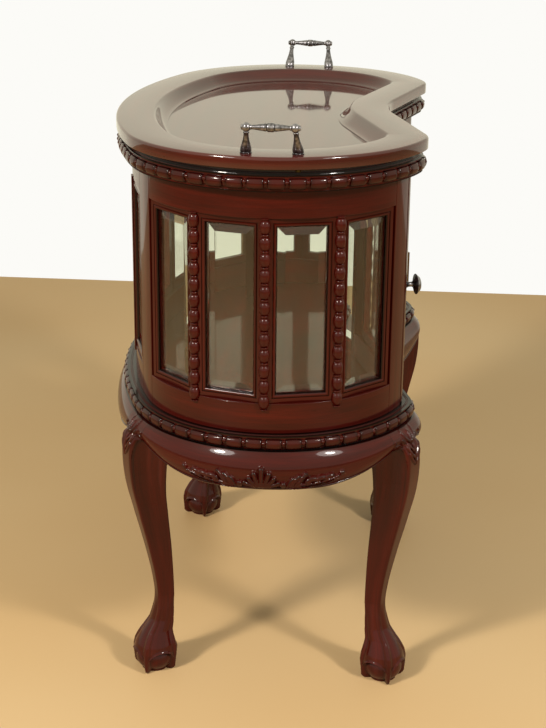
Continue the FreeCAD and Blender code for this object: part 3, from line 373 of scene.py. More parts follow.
def add(tree, kind, inputs=None, stops=(), **settings):
    """One node with its settings. An input is a value or another node's output, and the stops of a colour
    ramp are (position, hex colour)."""
    made = tree.nodes.new(f"ShaderNode{kind}")
    for key, value in settings.items():
        setattr(made, key, value)
    for key, value in (inputs or {}).items():
        if isinstance(value, bpy.types.NodeSocket):
            tree.links.new(value, made.inputs[key])
        else:
            made.inputs[key].default_value = value
    # A new ramp has two stops already
    for _ in stops[2:]:
        made.color_ramp.elements.new(0.5)
    for i, (position, code) in enumerate(stops):
        made.color_ramp.elements[i].position = position
        made.color_ramp.elements[i].color = linear(code)
    return made


def new_material(name):
    """An empty material and its node tree."""
    material = bpy.data.materials.new(name)
    material.use_nodes = True
    material.node_tree.nodes.clear()
    return material, material.node_tree


def surface(tree, inputs):
    """Ends a material with its shader and output."""
    shader = add(tree, "BsdfPrincipled", inputs)
    add(tree, "OutputMaterial", {"Surface": shader.outputs["BSDF"]})


def streaks(tree, place, along, across, detail=3.0):
    """Noise drawn out along the grain; its cells measure along by across, in millimetres."""
    scale = (1 / (along * MM), 1 / (across * MM), 1 / (across * MM))
    stretched = add(tree, "Mapping", {"Vector": place, "Scale": scale})
    noise = add(tree, "TexNoise", {"Vector": stretched.outputs["Vector"], "Scale": 1.0, "Detail": detail})
    return noise.outputs["Fac"]


def mahogany(name, by_grain=True, shade_and_glaze_hollows=True, coat=0.6, coat_ior=1.42, coat_roughness=0.06):
    """Mahogany, stained dark red, pores filled, sprayed and rubbed to a gloss: deep ribbons of colour and
    short dark pores lie under a clear coat, and the carving's hollows get dark glazing and painted shade."""
    material, tree = new_material(name)
    if by_grain:
        place = add(tree, "UVMap", uv_map="grain").outputs["UV"]
    else:
        place = add(tree, "TexCoord").outputs["Object"]
    ribbons = add(tree, "ValToRGB", {"Fac": streaks(tree, place, 240, 16, 4.0)},
                  [(0.3, "#370904"), (0.5, "#420B05"), (0.68, "#4E1008")])
    fibres = add(tree, "ValToRGB", {"Fac": streaks(tree, place, 45, 2.2)},
                 [(0.3, "#BEBEBE"), (0.7, "#FFFFFF")])
    # Real pores are about 0.2 mm wide; they are drawn coarser so that they show
    pores = add(tree, "ValToRGB", {"Fac": streaks(tree, place, 12, 1.1)},
                [(0.62, "#FFFFFF"), (0.74, "#5A4A44")])
    layers = [(0.55, fibres), (0.35, pores)]
    if shade_and_glaze_hollows:
        # Painted shade with some dark glazing: hollows go near black by the surface's pointiness, and ridges
        # get a slight red tint
        hollow_shade_and_glaze = add(tree, "ValToRGB", {"Fac": add(tree, "NewGeometry").outputs["Pointiness"]},
                      [(0.43, "#0E0302"), (0.5, "#FFFFFF"), (0.6, "#FFE2CC")])
        layers.append((0.95, hollow_shade_and_glaze))
    colour = ribbons.outputs["Color"]
    for strength, layer in layers:
        mix = add(tree, "Mix", {FACTOR: strength, UNDER: colour, OVER: layer.outputs["Color"]}, **STAIN_AND_SHADE_BLEND)
        colour = mix.outputs[MIXED]
    ripple = streaks(tree, place, 60, 25, 1.0)
    bump = add(tree, "Bump", {"Strength": 0.04, "Distance": 0.4 * MM, "Height": ripple})
    # The stained wood itself hardly shines; the gloss is in the coat
    surface(tree, {"Base Color": colour, "Roughness": 0.4, "IOR": 1.12, "Coat Weight": coat,
                   "Coat Roughness": coat_roughness, "Coat IOR": coat_ior, "Normal": bump.outputs["Normal"]})
    return material


def pewter():
    """Cast pulls, plated and antiqued: a soft grey gleam with dark patina left in the grooves."""
    material, tree = new_material("antique_pewter")
    place = add(tree, "TexCoord").outputs["Object"]
    cloud = streaks(tree, place, 4, 4, 4.0)
    patina = add(tree, "ValToRGB", {"Fac": cloud},
                 [(0.35, "#565558"), (0.55, "#858388"), (0.75, "#A8A6AB")]).outputs["Color"]
    grooves = add(tree, "ValToRGB", {"Fac": add(tree, "NewGeometry").outputs["Pointiness"]},
                  [(0.44, "#2A2522"), (0.52, "#FFFFFF")]).outputs["Color"]
    colour = add(tree, "Mix", {FACTOR: 0.8, UNDER: patina, OVER: grooves}, **STAIN_AND_SHADE_BLEND)
    rough = add(tree, "MapRange", {"Value": cloud, "To Min": 0.24, "To Max": 0.42})
    bump = add(tree, "Bump", {"Strength": 0.08, "Distance": 0.2 * MM, "Height": cloud})
    surface(tree, {"Base Color": colour.outputs[MIXED], "Metallic": 1.0, "Roughness": rough.outputs["Result"],
                   "Normal": bump.outputs["Normal"]})
    return material


def bevelled_glass():
    """Clear float glass, ground and polished to a bevel: a faint grey-green body and mirror-smooth faces."""
    material, tree = new_material("bevelled_glass")
    place = add(tree, "TexCoord").outputs["Object"]
    wave = streaks(tree, place, 90, 90, 1.0)
    bump = add(tree, "Bump", {"Strength": 0.02, "Distance": 0.3 * MM, "Height": wave})
    surface(tree, {"Base Color": linear("#EEF3EE"), "Roughness": 0.0, "IOR": 1.5, "Transmission Weight": 1.0,
                   "Normal": bump.outputs["Normal"]})
    return material


def metal(name, dark, light, roughness):
    """Stamped or drawn metal: mottled by handling, with a brushed softness to its shine."""
    material, tree = new_material(name)
    place = add(tree, "TexCoord").outputs["Object"]
    mottle = streaks(tree, place, 12, 3)
    colour = add(tree, "ValToRGB", {"Fac": mottle}, [(0.35, dark), (0.7, light)])
    rough = add(tree, "MapRange", {"Value": mottle, "To Min": roughness * 0.8, "To Max": roughness * 1.3})
    bump = add(tree, "Bump", {"Strength": 0.06, "Distance": 0.1 * MM, "Height": mottle})
    surface(tree, {"Base Color": colour.outputs["Color"], "Metallic": 1.0,
                   "Roughness": rough.outputs["Result"], "Normal": bump.outputs["Normal"]})
    return material


def plain_hardwood():
    """Sawn hardwood left raw, as under a cabinet: dry, matt, with plain straight grain."""
    material, tree = new_material("raw_hardwood")
    place = add(tree, "TexCoord").outputs["Object"]
    grain = streaks(tree, place, 120, 5, 4.0)
    colour = add(tree, "ValToRGB", {"Fac": grain}, [(0.3, "#6E4A2C"), (0.7, "#96693F")])
    bump = add(tree, "Bump", {"Strength": 0.2, "Distance": 0.2 * MM, "Height": grain})
    surface(tree, {"Base Color": colour.outputs["Color"], "Roughness": 0.75,
                   "Normal": bump.outputs["Normal"]})
    return material


def moulded_plastic():
    """Brown moulded plastic of a magnet catch: fine even texture and a low sheen."""
    material, tree = new_material("moulded_plastic")
    place = add(tree, "TexCoord").outputs["Object"]
    grit = streaks(tree, place, 0.8, 0.8, 2.0)
    colour = add(tree, "ValToRGB", {"Fac": grit}, [(0.3, "#2A1710"), (0.7, "#38211A")])
    bump = add(tree, "Bump", {"Strength": 0.15, "Distance": 0.1 * MM, "Height": grit})
    surface(tree, {"Base Color": colour.outputs["Color"], "Roughness": 0.5,
                   "Normal": bump.outputs["Normal"]})
    return material


WOOD = mahogany("polished_mahogany")
FLAT_WOOD = mahogany("polished_mahogany_boards", by_grain=False, shade_and_glaze_hollows=False)
# The tray top has the thickest lacquer, since it has to stand wet glasses
THICK_LACQUER = {"coat": 1.0, "coat_ior": 1.56, "coat_roughness": 0.045}
TOP_WOOD = mahogany("lacquered_mahogany_top", shade_and_glaze_hollows=False, **THICK_LACQUER)
TOP_BOARD = mahogany("lacquered_mahogany_board", by_grain=False, shade_and_glaze_hollows=False, **THICK_LACQUER)
PEWTER = pewter()
GLASS = bevelled_glass()
# The finish of pieces that are made here, and of the CAD's own
PIECE_MATERIALS = {"mahogany": WOOD, "clear_glass": GLASS, "antique_pewter": PEWTER}
SLOT_MATERIALS = {
    "mahogany": FLAT_WOOD,
    "plain_hardwood": plain_hardwood(),
    "clear_glass": GLASS,
    "antique_pewter": PEWTER,
    "aged_brass": metal("aged_brass", "#4E3A1C", "#6E5428", 0.4),
    "catch_plastic": moulded_plastic(),
    "strike_steel": metal("zinc_plated_steel", "#8D8F90", "#B4B6B6", 0.3),
}


def finished(item, body, slot, node, material=None):
    """Gives a piece the material of its slot and its body, and hides the CAD node that it stands for."""
    item.data.materials.append(material or PIECE_MATERIALS[slot])
    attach(item, body)
    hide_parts(node)
    return item


# Tray

# The rim's section: the edge's two rounds, the roll over into the recess, the hollow slope below it and the
# small step down to the panel
LOW_ROUND = 1.2
HIGH_ROUND = 3.2
ROLL_INSET = 3
ROLL_RADIUS = 5
ROLL_TURN = math.radians(62)
SLOPE_HOLLOW = 2.1
PANEL_STEP = 1.0


def tray_rim():
    """The moulded rim, from its seat round the outside and over into the recess."""
    outer = TIP_RADIUS
    rows = [(SEAT_INSET, Z_SEAT, RECESS_TIP)]
    rows += [(TRAY_FOOT_INSET, z, outer) for z in (Z_SEAT, Z_EDGE)]
    for t in np.linspace(0, math.pi / 2, 5):
        rows.append((LOW_ROUND * (1 - math.sin(t)), Z_EDGE + LOW_ROUND * (1 - math.cos(t)), outer))
    for t in np.linspace(0, math.pi / 2, 7):
        rows.append((HIGH_ROUND * (1 - math.cos(t)), Z_RIM - HIGH_ROUND * (1 - math.sin(t)), outer))
    for t in np.linspace(0, ROLL_TURN, 6):
        inset = RIM_WIDTH - ROLL_INSET + ROLL_RADIUS * math.sin(t)
        rows.append((inset, Z_RIM - ROLL_RADIUS * (1 - math.cos(t)), RECESS_TIP))
    start, top, _ = rows[-1]
    end = RIM_WIDTH + Z_RIM - Z_PANEL
    ledge = Z_PANEL + PANEL_STEP
    for t in np.linspace(0, 1, 9)[1:]:
        rows.append((start + (end - start) * t, ledge + (top - ledge) * (1 - t) ** SLOPE_HOLLOW, RECESS_TIP))
    rows.append((end, Z_PANEL, RECESS_TIP))
    rows.append((SEAT_INSET, Z_PANEL, RECESS_TIP))
    finished(ring("tray_rim_moulded", rows), "tray", "mahogany", "tray_rim", material=TOP_WOOD)


# Tray handles

HANDLE_INSET = 24
HANDLE_FORWARD = 7
HANDLE_X = TRAY_LENGTH / 2 - HANDLE_INSET
HANDLE_Y = END[1] - HANDLE_FORWARD
HANDLE_SPACING = 62.5
HANDLE_GATHER = 2.5
HANDLE_LEAN = 20
BALL_HEIGHT = 34.5
BALL_RADIUS = 5.5
# A post from its foot up: radius, height and share of the lean
POST_SHAPE = [(6.9, 0, 0), (7.25, 0.5, 0.01), (7.2, 1.5, 0.02), (6.5, 1.9, 0.03), (6.9, 2.8, 0.05),
              (6.7, 6.5, 0.14), (5.4, 11.5, 0.3), (4, 17.2, 0.47), (3.2, 22, 0.62), (2.9, 26, 0.75),
              (3.7, 27, 0.78), (3.7, 27.9, 0.81), (2.9, 28.8, 0.84), (2.9, BALL_HEIGHT, 1)]
# Half of the bar from its end inwards: radius, and distance from the bar's middle
BAR_SHAPE = [(0.02, 35.4), (1.9, 35.25), (2.9, 34.8), (3.3, 34.2), (3.3, 33), (2.4, 31), (2.4, 24.2),
             (2.9, 23.8), (3.1, 23.2), (2.9, 22.6), (2.5, 22.2), (2.9, 19), (3.7, 13), (4.4, 8), (4.75, 6),
             (4.7, 5.4), (4.2, 5), (4.2, 4.4), (4.9, 4), (5.25, 3), (5.35, 1.6), (5.35, 0)]


def handle_post(name, sign, end):
    """A bell-footed post that leans outwards and gathers in to its ball."""
    angles = np.linspace(0, 2 * math.pi, 32, endpoint=False)
    rows = []
    for radius, height, share in POST_SHAPE:
        x = sign * (HANDLE_X + HANDLE_LEAN * share)
        y = HANDLE_Y + end * (HANDLE_SPACING / 2 - HANDLE_GATHER * share)
        rows.append([(x + radius * math.cos(a), y + radius * math.sin(a), Z_RIM + height) for a in angles])
    stem = grid(f"{name}_stem", rows, loop_columns=True, cap_rows=True, along_columns=False, sharp=40)
    # The ball sits where the stem ends
    ball = lathe(f"{name}_ball", ball_profile(BALL_RADIUS, 19, end=1.55))
    return [stem, stood(ball, x, y, Z_RIM + BALL_HEIGHT)]


def handle(side, sign):
    """Two leaning posts with ball tops, and a turned bar with a collar between two grooves."""
    posts = handle_post(f"{side}_fore", sign, -1) + handle_post(f"{side}_aft", sign, 1)
    finished(joined(f"{side}_pull_posts", posts), "tray", "antique_pewter", f"{side}_handle_posts")
    profile = [(r, -z) for r, z in BAR_SHAPE] + [(r, z) for r, z in BAR_SHAPE[-2::-1]]
    bar = lathe(f"{side}_pull_bar", profile, sharp=30)
    bar.data.transform(Matrix.Rotation(-math.pi / 2, 4, "X"))
    stood(bar, sign * (HANDLE_X + HANDLE_LEAN), HANDLE_Y, Z_RIM + BALL_HEIGHT)
    finished(bar, "tray", "antique_pewter", f"{side}_handle_bar")


# Bead courses over and under the wall

BEAD_PITCH = 25
BEAD_HEIGHT = 13.5
BEAD_DEPTH = 6
BEAD_ROWS = 15
# Half a barrel from the joint outwards: distance, and the course's thickness there
BEAD_SHAPE = [(0, 0.42), (1.7, 0.42), (2.1, 0.55), (2.5, 0.8), (3.1, 0.92), (4.6, 0.975), (8, 0.995),
              (BEAD_PITCH / 2, 1.0)]
BEAD_FLATNESS = 0.6
# The share of the barrels' height that doesn't shrink with their thickness
BEAD_EVENNESS = 0.55
# How deep the course's upper and lower edges are sunk in the strip behind it
BEAD_SINK = 0.6
# The pearl in the notch between two barrels: how far out it sits is a share of their depth
PEARL_RADIUS = 2.7
PEARL_RISE = 2.2
PEARL_REACH = 0.7
# The strip behind the course has a fillet along its top and bottom, and two fine lines scratched on its ledge
STRIP_LAP = 2
FILLET_REACH = 1.2
FILLET_HEIGHT = 1
FILLET_SLOPE = 0.3
SCRATCH_PLACES = (3, 5)
SCRATCH_WIDTH = 1.2
SCRATCH_SLOPE = 0.3
SCRATCH_DEPTH = 0.7


def along_outline(inset, count, offsets):
    """Points and inward normals at evenly spaced stations, each with offsets along the line."""
    line = kidney(inset, step=CARVING_STEP)
    closed = np.vstack([line, line[:1]])
    lengths = lengths_along(closed)
    total = lengths[-1]

    def at(places):
        return np.stack([np.interp(places % total, lengths, closed[:, k]) for k in (0, 1)], 1)

    stations = ((np.arange(count)[:, None] + np.array(offsets)) * total / count).ravel()
    # The direction comes from half a millimetre on each side
    run = at(stations + 0.5) - at(stations - 0.5)
    run /= np.linalg.norm(run, axis=1)[:, None]
    return at(stations), np.stack([run[:, 1], -run[:, 0]], 1)


def backing_strip(name, low, high, setback):
    """The strip behind a course, which reaches in to the wall."""
    plate = WALL_INSET + STRIP_LAP
    fillet = setback - FILLET_REACH
    rise = FILLET_HEIGHT + FILLET_SLOPE
    section = [(plate, low), (fillet, low), (fillet, low + FILLET_HEIGHT), (setback, low + rise),
               (setback, high - rise), (fillet, high - FILLET_HEIGHT), (fillet, high)]
    for place in SCRATCH_PLACES:
        start = setback + place
        stop = start + SCRATCH_WIDTH
        section += [(start, high), (start + SCRATCH_SLOPE, high - SCRATCH_DEPTH),
                    (stop - SCRATCH_SLOPE, high - SCRATCH_DEPTH), (stop, high)]
    section.append((plate, high))
    return ring(name, [(inset, z, TIP_RADIUS) for inset, z in section])


def bead_course(name, node, low, high, lip, setback):
    """A course of long flat-faced barrels on a strip, with a pearl in the notch between two."""
    strip = backing_strip(f"{name}_backing", low, high, setback)
    middle = low + lip + BEAD_HEIGHT / 2
    half = [distance / BEAD_PITCH for distance, _ in BEAD_SHAPE]
    swell = [size for _, size in BEAD_SHAPE]
    count = round(lengths_along(kidney(setback))[-1] / BEAD_PITCH)
    points, inward = along_outline(setback, count, [-d for d in half[:0:-1]] + half[:-1])
    sizes = np.tile(swell[:0:-1] + swell[:-1], count)
    tall = BEAD_HEIGHT * (BEAD_EVENNESS + (1 - BEAD_EVENNESS) * sizes)
    angles = np.linspace(-math.pi / 2, math.pi / 2, BEAD_ROWS)
    rows = []
    for t in angles:
        out = BEAD_DEPTH * sizes * max(math.cos(t), 0) ** BEAD_FLATNESS
        if t in (angles[0], angles[-1]):
            out = out - BEAD_SINK
        rows.append(np.column_stack([points - inward * out[:, None], middle + tall / 2 * math.sin(t)]))
    course = grid(f"{name}_course", rows, loop_rows=True, loop_columns=True, sharp=50)
    profile = ball_profile(PEARL_RADIUS, 9, end=1.5)
    spots, _ = along_outline(setback - BEAD_DEPTH * PEARL_REACH, count, [0])
    height = middle + PEARL_RISE
    pearls = [stood(lathe(f"{name}_pearl", profile, count=12), *spot, height) for spot in spots]
    finished(joined(name, [strip, course, *pearls]), "cabinet", "mahogany", node)


# Cabinet wall

def band(centre, outer, inner, start, stop):
    """Plan of a wall piece between two radii and two angles."""
    return arc(centre, outer, start, stop) + arc(centre, inner, stop, start)


def rails_and_posts():
    """The curved rails over and under the windows, and the posts between the windows and the door."""
    end_inner = WALL_END_RADIUS - WALL_THICKNESS
    back_inner = WALL_BACK_RADIUS - WALL_THICKNESS
    edge = math.pi / 2 - BACK_WINDOW
    for rail, low, high in (("top", Z_HEAD, Z_TOP), ("bottom", Z_WALL, Z_SILL)):
        for side, sign in SIDES:
            plan = mirrored(band(END, WALL_END_RADIUS, end_inner, -END_WINDOW, END_WINDOW), sign)
            item = slab(f"{rail}_{side}_curved_rail", plan, low, high)
            finished(item, "cabinet", "mahogany", f"{rail}_rail_{side}")
        plan = band(BACK, WALL_BACK_RADIUS, back_inner, edge, math.pi - edge)
        item = slab(f"{rail}_back_curved_rail", plan, low, high)
        finished(item, "cabinet", "mahogany", f"{rail}_rail_back")
    for side, sign in SIDES:
        plan = mirrored(band(END, WALL_END_RADIUS, end_inner, GAP_ANGLE - FRONT_ANGLE, -END_WINDOW), sign)
        item = slab(f"front_{side}_wall_post", plan, Z_WALL, Z_TOP, upright=True)
        finished(item, "cabinet", "mahogany", f"front_{side}_post")
        outside = (arc(END, WALL_END_RADIUS, END_WINDOW, BACK_ANGLE)[:-1]
                   + arc(BACK, WALL_BACK_RADIUS, BACK_ANGLE, edge))
        inside = arc(BACK, back_inner, edge, BACK_ANGLE)[:-1] + arc(END, end_inner, BACK_ANGLE, END_WINDOW)
        item = slab(f"back_{side}_wall_post", mirrored(outside + inside, sign), Z_WALL, Z_TOP, upright=True)
        finished(item, "cabinet", "mahogany", f"back_{side}_post")


# Windows

# Sash moulding from its outer edge to the glass: distance across the bar, and depth from its face
SASH_SECTION = [(0, -SASH_THICKNESS), (0, -0.7), (0.7, 0), (5.6, 0), (6.0, -0.9), (6.6, -0.9), (6.8, -0.35),
                (7.6, 0.35), (8.7, 0.4), (9.8, -0.2), (10.7, -1.4), (11.2, -2.8), (11.3, -3.6),
                (SASH_BAR, -3.8), (SASH_BAR, -SASH_THICKNESS)]
# Half a bobbin of a mullion, from the middle of a ring to its belly: share of the radius, and of the pitch
BOBBIN_SHAPE = [(0.72, 0), (0.74, 0.025), (0.7, 0.05), (0.46, 0.065), (0.52, 0.085), (0.68, 0.125),
                (0.81, 0.19), (0.91, 0.27), (0.98, 0.38), (1, 0.5)]


def sash(name, width):
    """A mitred frame standing on its lower edge, outer face towards +X at x = 0."""
    rows = []
    for across, depth in SASH_SECTION:
        y = width / 2 - across
        rows.append([(depth, -y, across), (depth, y, across), (depth, y, LIGHT_HEIGHT - across),
                     (depth, -y, LIGHT_HEIGHT - across)])
    return grid(name, rows, loop_rows=True, loop_columns=True, sharp=38)


def pane(name, width):
    """A sheet of glass whose outer face is bevelled all round."""
    y = width / 2 - SASH_BAR
    low = SASH_BAR
    high = LIGHT_HEIGHT - SASH_BAR
    front = -PANE_SETBACK
    back = front - PANE_THICKNESS
    edge = front - PANE_BEVEL_DEPTH
    rows = []
    for x, inset in ((back, 0), (edge, 0), (front, PANE_BEVEL)):
        rows.append([(x, inset - y, low + inset), (x, y - inset, low + inset), (x, y - inset, high - inset),
                     (x, inset - y, high - inset)])
    return grid(name, rows, loop_columns=True, cap_rows=True, sharp=3)


def mullion(name):
    """Half of a bobbin turning, its flat back on x = 0: barrels parted by thin rings between deep cuts."""
    pitch = MULLION_LENGTH / MULLION_BEADS
    bobbin = BOBBIN_SHAPE + [(size, 1 - share) for size, share in BOBBIN_SHAPE[-2:0:-1]]
    profile = []
    for i in range(MULLION_BEADS):
        profile += [(MULLION_RADIUS * size, (i + share) * pitch) for size, share in bobbin]
    profile.append((MULLION_RADIUS * bobbin[0][0], MULLION_LENGTH))
    return lathe(name, profile, count=15, half=True, sharp=50)


def plain_strip(name):
    """The flat strip over the joint of two back lights, its edges eased."""
    half = BACK_STRIP_WIDTH / 2
    thick = BACK_STRIP_THICKNESS
    plan = softened([(0, -half), (thick, -half), (thick, half), (0, half)], EASED_EDGE)
    rows = [[(*p, z) for p in plan] for z in (0, MULLION_LENGTH)]
    return grid(name, rows, loop_columns=True, cap_rows=True, along_columns=False)


def glazed(label, body, spots, bar, bar_spots):
    """Sashes, panes and bars; a spot is (x, y, angle) with the width of its light."""
    sashes = [stood(sash(f"{label}_sash", width), x, y, Z_SILL, angle) for x, y, angle, width in spots]
    panes = [stood(pane(f"{label}_pane", width), x, y, Z_SILL, angle) for x, y, angle, width in spots]
    bars = [stood(bar(f"{label}_bar"), x, y, MULLION_LOW, angle) for x, y, angle in bar_spots]
    finished(joined(f"{label}_moulded_sashes", sashes), body, "mahogany", f"{label}_sashes")
    glass = finished(joined(f"{label}_bevelled_panes", panes), body, "clear_glass", f"{label}_panes")
    # Clear glass throws hardly any shadow
    glass.visible_shadow = False
    finished(joined(f"{label}_glazing_bars", bars), body, "mahogany", f"{label}_mullions")


def curved_window(label, centre, radius, facing, half, count, bar):
    """Flat lights set along an arc, with a bar over the joint of each two."""
    step = 2 * half / count
    face = radius * math.cos(step / 2)
    width = 2 * ((face - SASH_THICKNESS) * math.tan(step / 2) - SASH_GAP)
    spots = []
    mullions = []
    for i in range(count):
        angle = facing - half + step * (i + 0.5)
        spots.append((*polar(centre, face, angle), angle, width))
        if i:
            angle = facing - half + step * i
            mullions.append((*polar(centre, radius, angle), angle))
    glazed(label, "cabinet", spots, bar, mullions)


# Door

DOOR_STILE_FLAT = 25
DOOR_LIGHT_SETBACK = 4
DOOR_LIGHT_TRIM = 3.5
KNOB_OFFSET = 6
KNOB_HEIGHT = 156
# The knob from its foot out: radius, and distance from the door
KNOB_SHAPE = [(6.3, 0), (6.5, 0.5), (6.4, 1.1), (5.6, 2), (4.4, 3.6), (3.5, 5.4), (3.25, 7), (3.2, 9.5),
              (3.5, 11), (5, 12.6), (8, 14), (11, 14.9), (13.2, 15.6), (13.5, 16), (13.3, 16.6), (12.2, 17.6),
              (10.8, 18.9), (9.6, 20.4), (8.4, 21.2), (6, 21.9), (4.2, 22.2), (3.8, 22.0), (3.4, 22.4),
              (2.4, 23), (0.02, 23.2)]


def door():
    """The door that fills the hollow front: stiles round the lobe tips, bent rails, lights and a knob."""
    faces = (WALL_INSET, INNER_INSET)
    for side, sign in SIDES:
        outer, inner = [
            arc(LOBE, TIP_RADIUS - inset, -FRONT_ANGLE, FLANK_ANGLE - math.pi)
            + [on_flank(inset, DOOR_STILE_FLAT)]
            for inset in faces
        ]
        plan = mirrored(outer[::-1] + inner, sign)
        item = slab(f"door_{side}_curved_stile", plan, DOOR_LOW, DOOR_HIGH, upright=True)
        finished(item, "door", "mahogany", f"door_{side}_stile")
    outer, inner = [
        [on_flank(inset, DOOR_STILE_FLAT)]
        + arc(NOTCH, NOTCH_RADIUS + inset, FLANK_ANGLE, math.pi - FLANK_ANGLE)
        + [on_flank(inset, DOOR_STILE_FLAT, -1)]
        for inset in faces
    ]
    for rail, low, high in (("top", Z_HEAD, DOOR_HIGH), ("bottom", DOOR_LOW, Z_SILL)):
        item = slab(f"door_{rail}_bent_rail", inner + outer[::-1], low, high)
        finished(item, "door", "mahogany", f"door_{rail}_rail")
    door_lights()
    knob()


def door_lights():
    """One light in the notch and one on each flank, with a mullion where two meet."""
    flank_width = FLANK_LENGTH - DOOR_STILE_FLAT - DOOR_LIGHT_TRIM - SASH_GAP
    notch_width = 2 * ((NOTCH_RADIUS + INNER_INSET) * math.cos(FLANK_ANGLE) - MULLION_RADIUS - SASH_GAP)
    inset = WALL_INSET + DOOR_LIGHT_SETBACK
    hollow = MULLION_RADIUS ** 2 / (NOTCH_RADIUS + WALL_INSET)
    spots = [(0, NOTCH[1] + NOTCH_RADIUS + inset, -math.pi / 2, notch_width)]
    mullions = []
    for _, sign in SIDES:
        angle = FLANK_ANGLE + math.pi if sign > 0 else -FLANK_ANGLE
        along = DOOR_STILE_FLAT + SASH_GAP + flank_width / 2
        spots.append((*on_flank(inset, along, sign), angle, flank_width))
        mullions.append((*on_flank(WALL_INSET - hollow, FLANK_LENGTH, sign), angle))
    glazed("door", "door", spots, mullion, mullions)


def knob():
    """A mushroom knob: flared foot, straight neck, hollow underside and a crown with a button."""
    turned = lathe("turned_knob", KNOB_SHAPE, count=40)
    turned.data.transform(Matrix.Rotation(math.pi / 2, 4, "Y"))
    stood(turned, *on_flank(WALL_INSET, KNOB_OFFSET, -1), Z_WALL + KNOB_HEIGHT, -FLANK_ANGLE)
    finished(turned, "door", "antique_pewter", "door_knob")


# Carving: strokes of relief with a rounded back and a vein

# A vein's width is a share of its stroke's half width
VEIN_WIDTH = 0.2
OVAL_STRETCH = 0.6


def stroke(start, bend, stop, first, last, height, vein=0.25):
    """A curved gouge-cut lobe: three guiding points, its half width at both ends, its height and how much of
    that its vein cuts away."""
    t = np.linspace(0, 1, 20)[:, None]
    line = np.array(start) * (1 - t) ** 2 + np.array(bend) * 2 * t * (1 - t) + np.array(stop) * t ** 2
    return line, first + (last - first) * t[:, 0], height, vein


def pearl(u, v, size, height):
    """An oval bead, a little taller than wide."""
    return stroke((u, v - OVAL_STRETCH), (u, v), (u, v + OVAL_STRETCH), size, size, height, 0)


def relief(u, v, strokes):
    """Height of the carving at each point of a face, in millimetres."""
    best = np.zeros_like(u)
    for line, widths, height, vein in strokes:
        gap = np.hypot(u[..., None] - line[:, 0], v[..., None] - line[:, 1]) / widths
        near = gap.min(-1)
        body = height * np.sqrt(np.clip(1 - near ** 2, 0, 1))
        body *= 1 - vein * np.exp(-(near / VEIN_WIDTH) ** 2)
        best = np.maximum(best, body)
    return best


def both_sides(strokes):
    """Strokes and their mirror images."""
    flip = np.array([-1, 1])
    return strokes + [(line * flip, *rest) for line, *rest in strokes]


def palmette():
    """The apron's centre: a broad fan of lobes, then on each side a pearl, a flame of ridges and a long leaf
    with a scalloped back. Returns what is raised, and the slots that are cut into it."""
    strokes = [stroke((0, 6), (0, 18), (0, 29), 3.2, 4.0, 5.2)]
    side = [
        stroke((3, 6), (6.5, 15), (9, 23), 3.0, 3.8, 5.0),
        stroke((6, 6), (11.5, 11), (15, 16.5), 2.8, 3.6, 4.8),
        stroke((9, 5.5), (15, 7), (20.5, 10.5), 2.6, 3.3, 4.4),
        pearl(27, 8, 4.4, 5.0),
        stroke((33, 4.5), (33.5, 12), (39, 16.5), 2.7, 3.0, 4.8),
        stroke((36.5, 4.5), (39, 13), (46, 20), 2.8, 3.2, 5.2),
        stroke((40.5, 4.5), (46, 13), (54, 23), 3.0, 3.0, 5.4),
        stroke((45, 6), (66, 6.5), (95, 13.5), 5.0, 3.6, 4.8, 0),
        stroke((56, 12), (59, 16.5), (65, 15.5), 4.3, 4.0, 5.6, 0.1),
        stroke((67, 12.5), (70, 17), (76, 16.5), 4.2, 3.9, 5.4, 0.1),
        stroke((78, 13.5), (81, 18), (87, 17.5), 3.9, 3.6, 5.0, 0.1),
        pearl(101, 17.5, 3.6, 4.2),
    ]
    slots = [
        stroke((50, 6), (68, 6.5), (88, 11.5), 1.5, 1.1, 3.4, 0),
        stroke((62, 10.5), (64, 12), (66, 12.5), 1.0, 1.0, 2.0, 0),
        stroke((73, 11.5), (75, 13), (77, 13.5), 1.0, 1.0, 2.0, 0),
    ]
    return strokes + both_sides(side), both_sides(slots)


# Aprons

APRON_REACH = 2
APRON_SETBACK = 3
APRON_ROUND = 45
APRON_THICKNESS = 26
# The rounded lip along the lower edge, and the fine groove over it
LIP_HEIGHT = 3.6
LIP_REACH = 1.5
GROOVE_RISE = 0.7
GROOVE_WIDTH = 0.8
GROOVE_DEPTH = 0.9
# The lower edge rises towards each leg
END_LIFT = 25
LIFT_LENGTH = 115
LIFT_CURVE = 1.7
Z_LEG_HEAD = Z_APRON + END_LIFT
# The carving begins at the lower edge and comes to its height over this rise
CARVING_START = 2
# Rows of points up the face are closer near its lower edge
FACE_ROWS = 70
FACE_CROWDING = 1.3


def apron_face():
    """The round face from its lower edge up: reach beyond the outline, and height."""
    low = np.array([APRON_REACH, Z_APRON])
    high = np.array([-APRON_SETBACK, Z_BASE])
    chord = high - low
    length = np.hypot(*chord)
    out = np.array([chord[1], -chord[0]]) / length
    deep = math.sqrt(APRON_ROUND ** 2 - length ** 2 / 4)
    middle = (low + high) / 2 - out * deep
    half = math.asin(length / 2 / APRON_ROUND)
    lean = math.atan2(out[1], out[0])
    angles = lean - half + 2 * half * np.linspace(0, 1, FACE_ROWS) ** FACE_CROWDING
    reach = middle[0] + APRON_ROUND * np.cos(angles)
    height = middle[1] + APRON_ROUND * np.sin(angles)
    rise = height - Z_APRON
    reach += LIP_REACH * np.sqrt(np.clip(1 - (2 * rise / LIP_HEIGHT - 1) ** 2, 0, 1))
    reach -= GROOVE_DEPTH * np.exp(-((rise - LIP_HEIGHT - GROOVE_RISE) / GROOVE_WIDTH) ** 2)
    return np.column_stack([reach, height])


def lifted(height, lift):
    """A height on an apron whose lower edge is lifted, while its upper edge stays in place."""
    return height + lift * (Z_BASE - height) / (Z_BASE - Z_APRON)


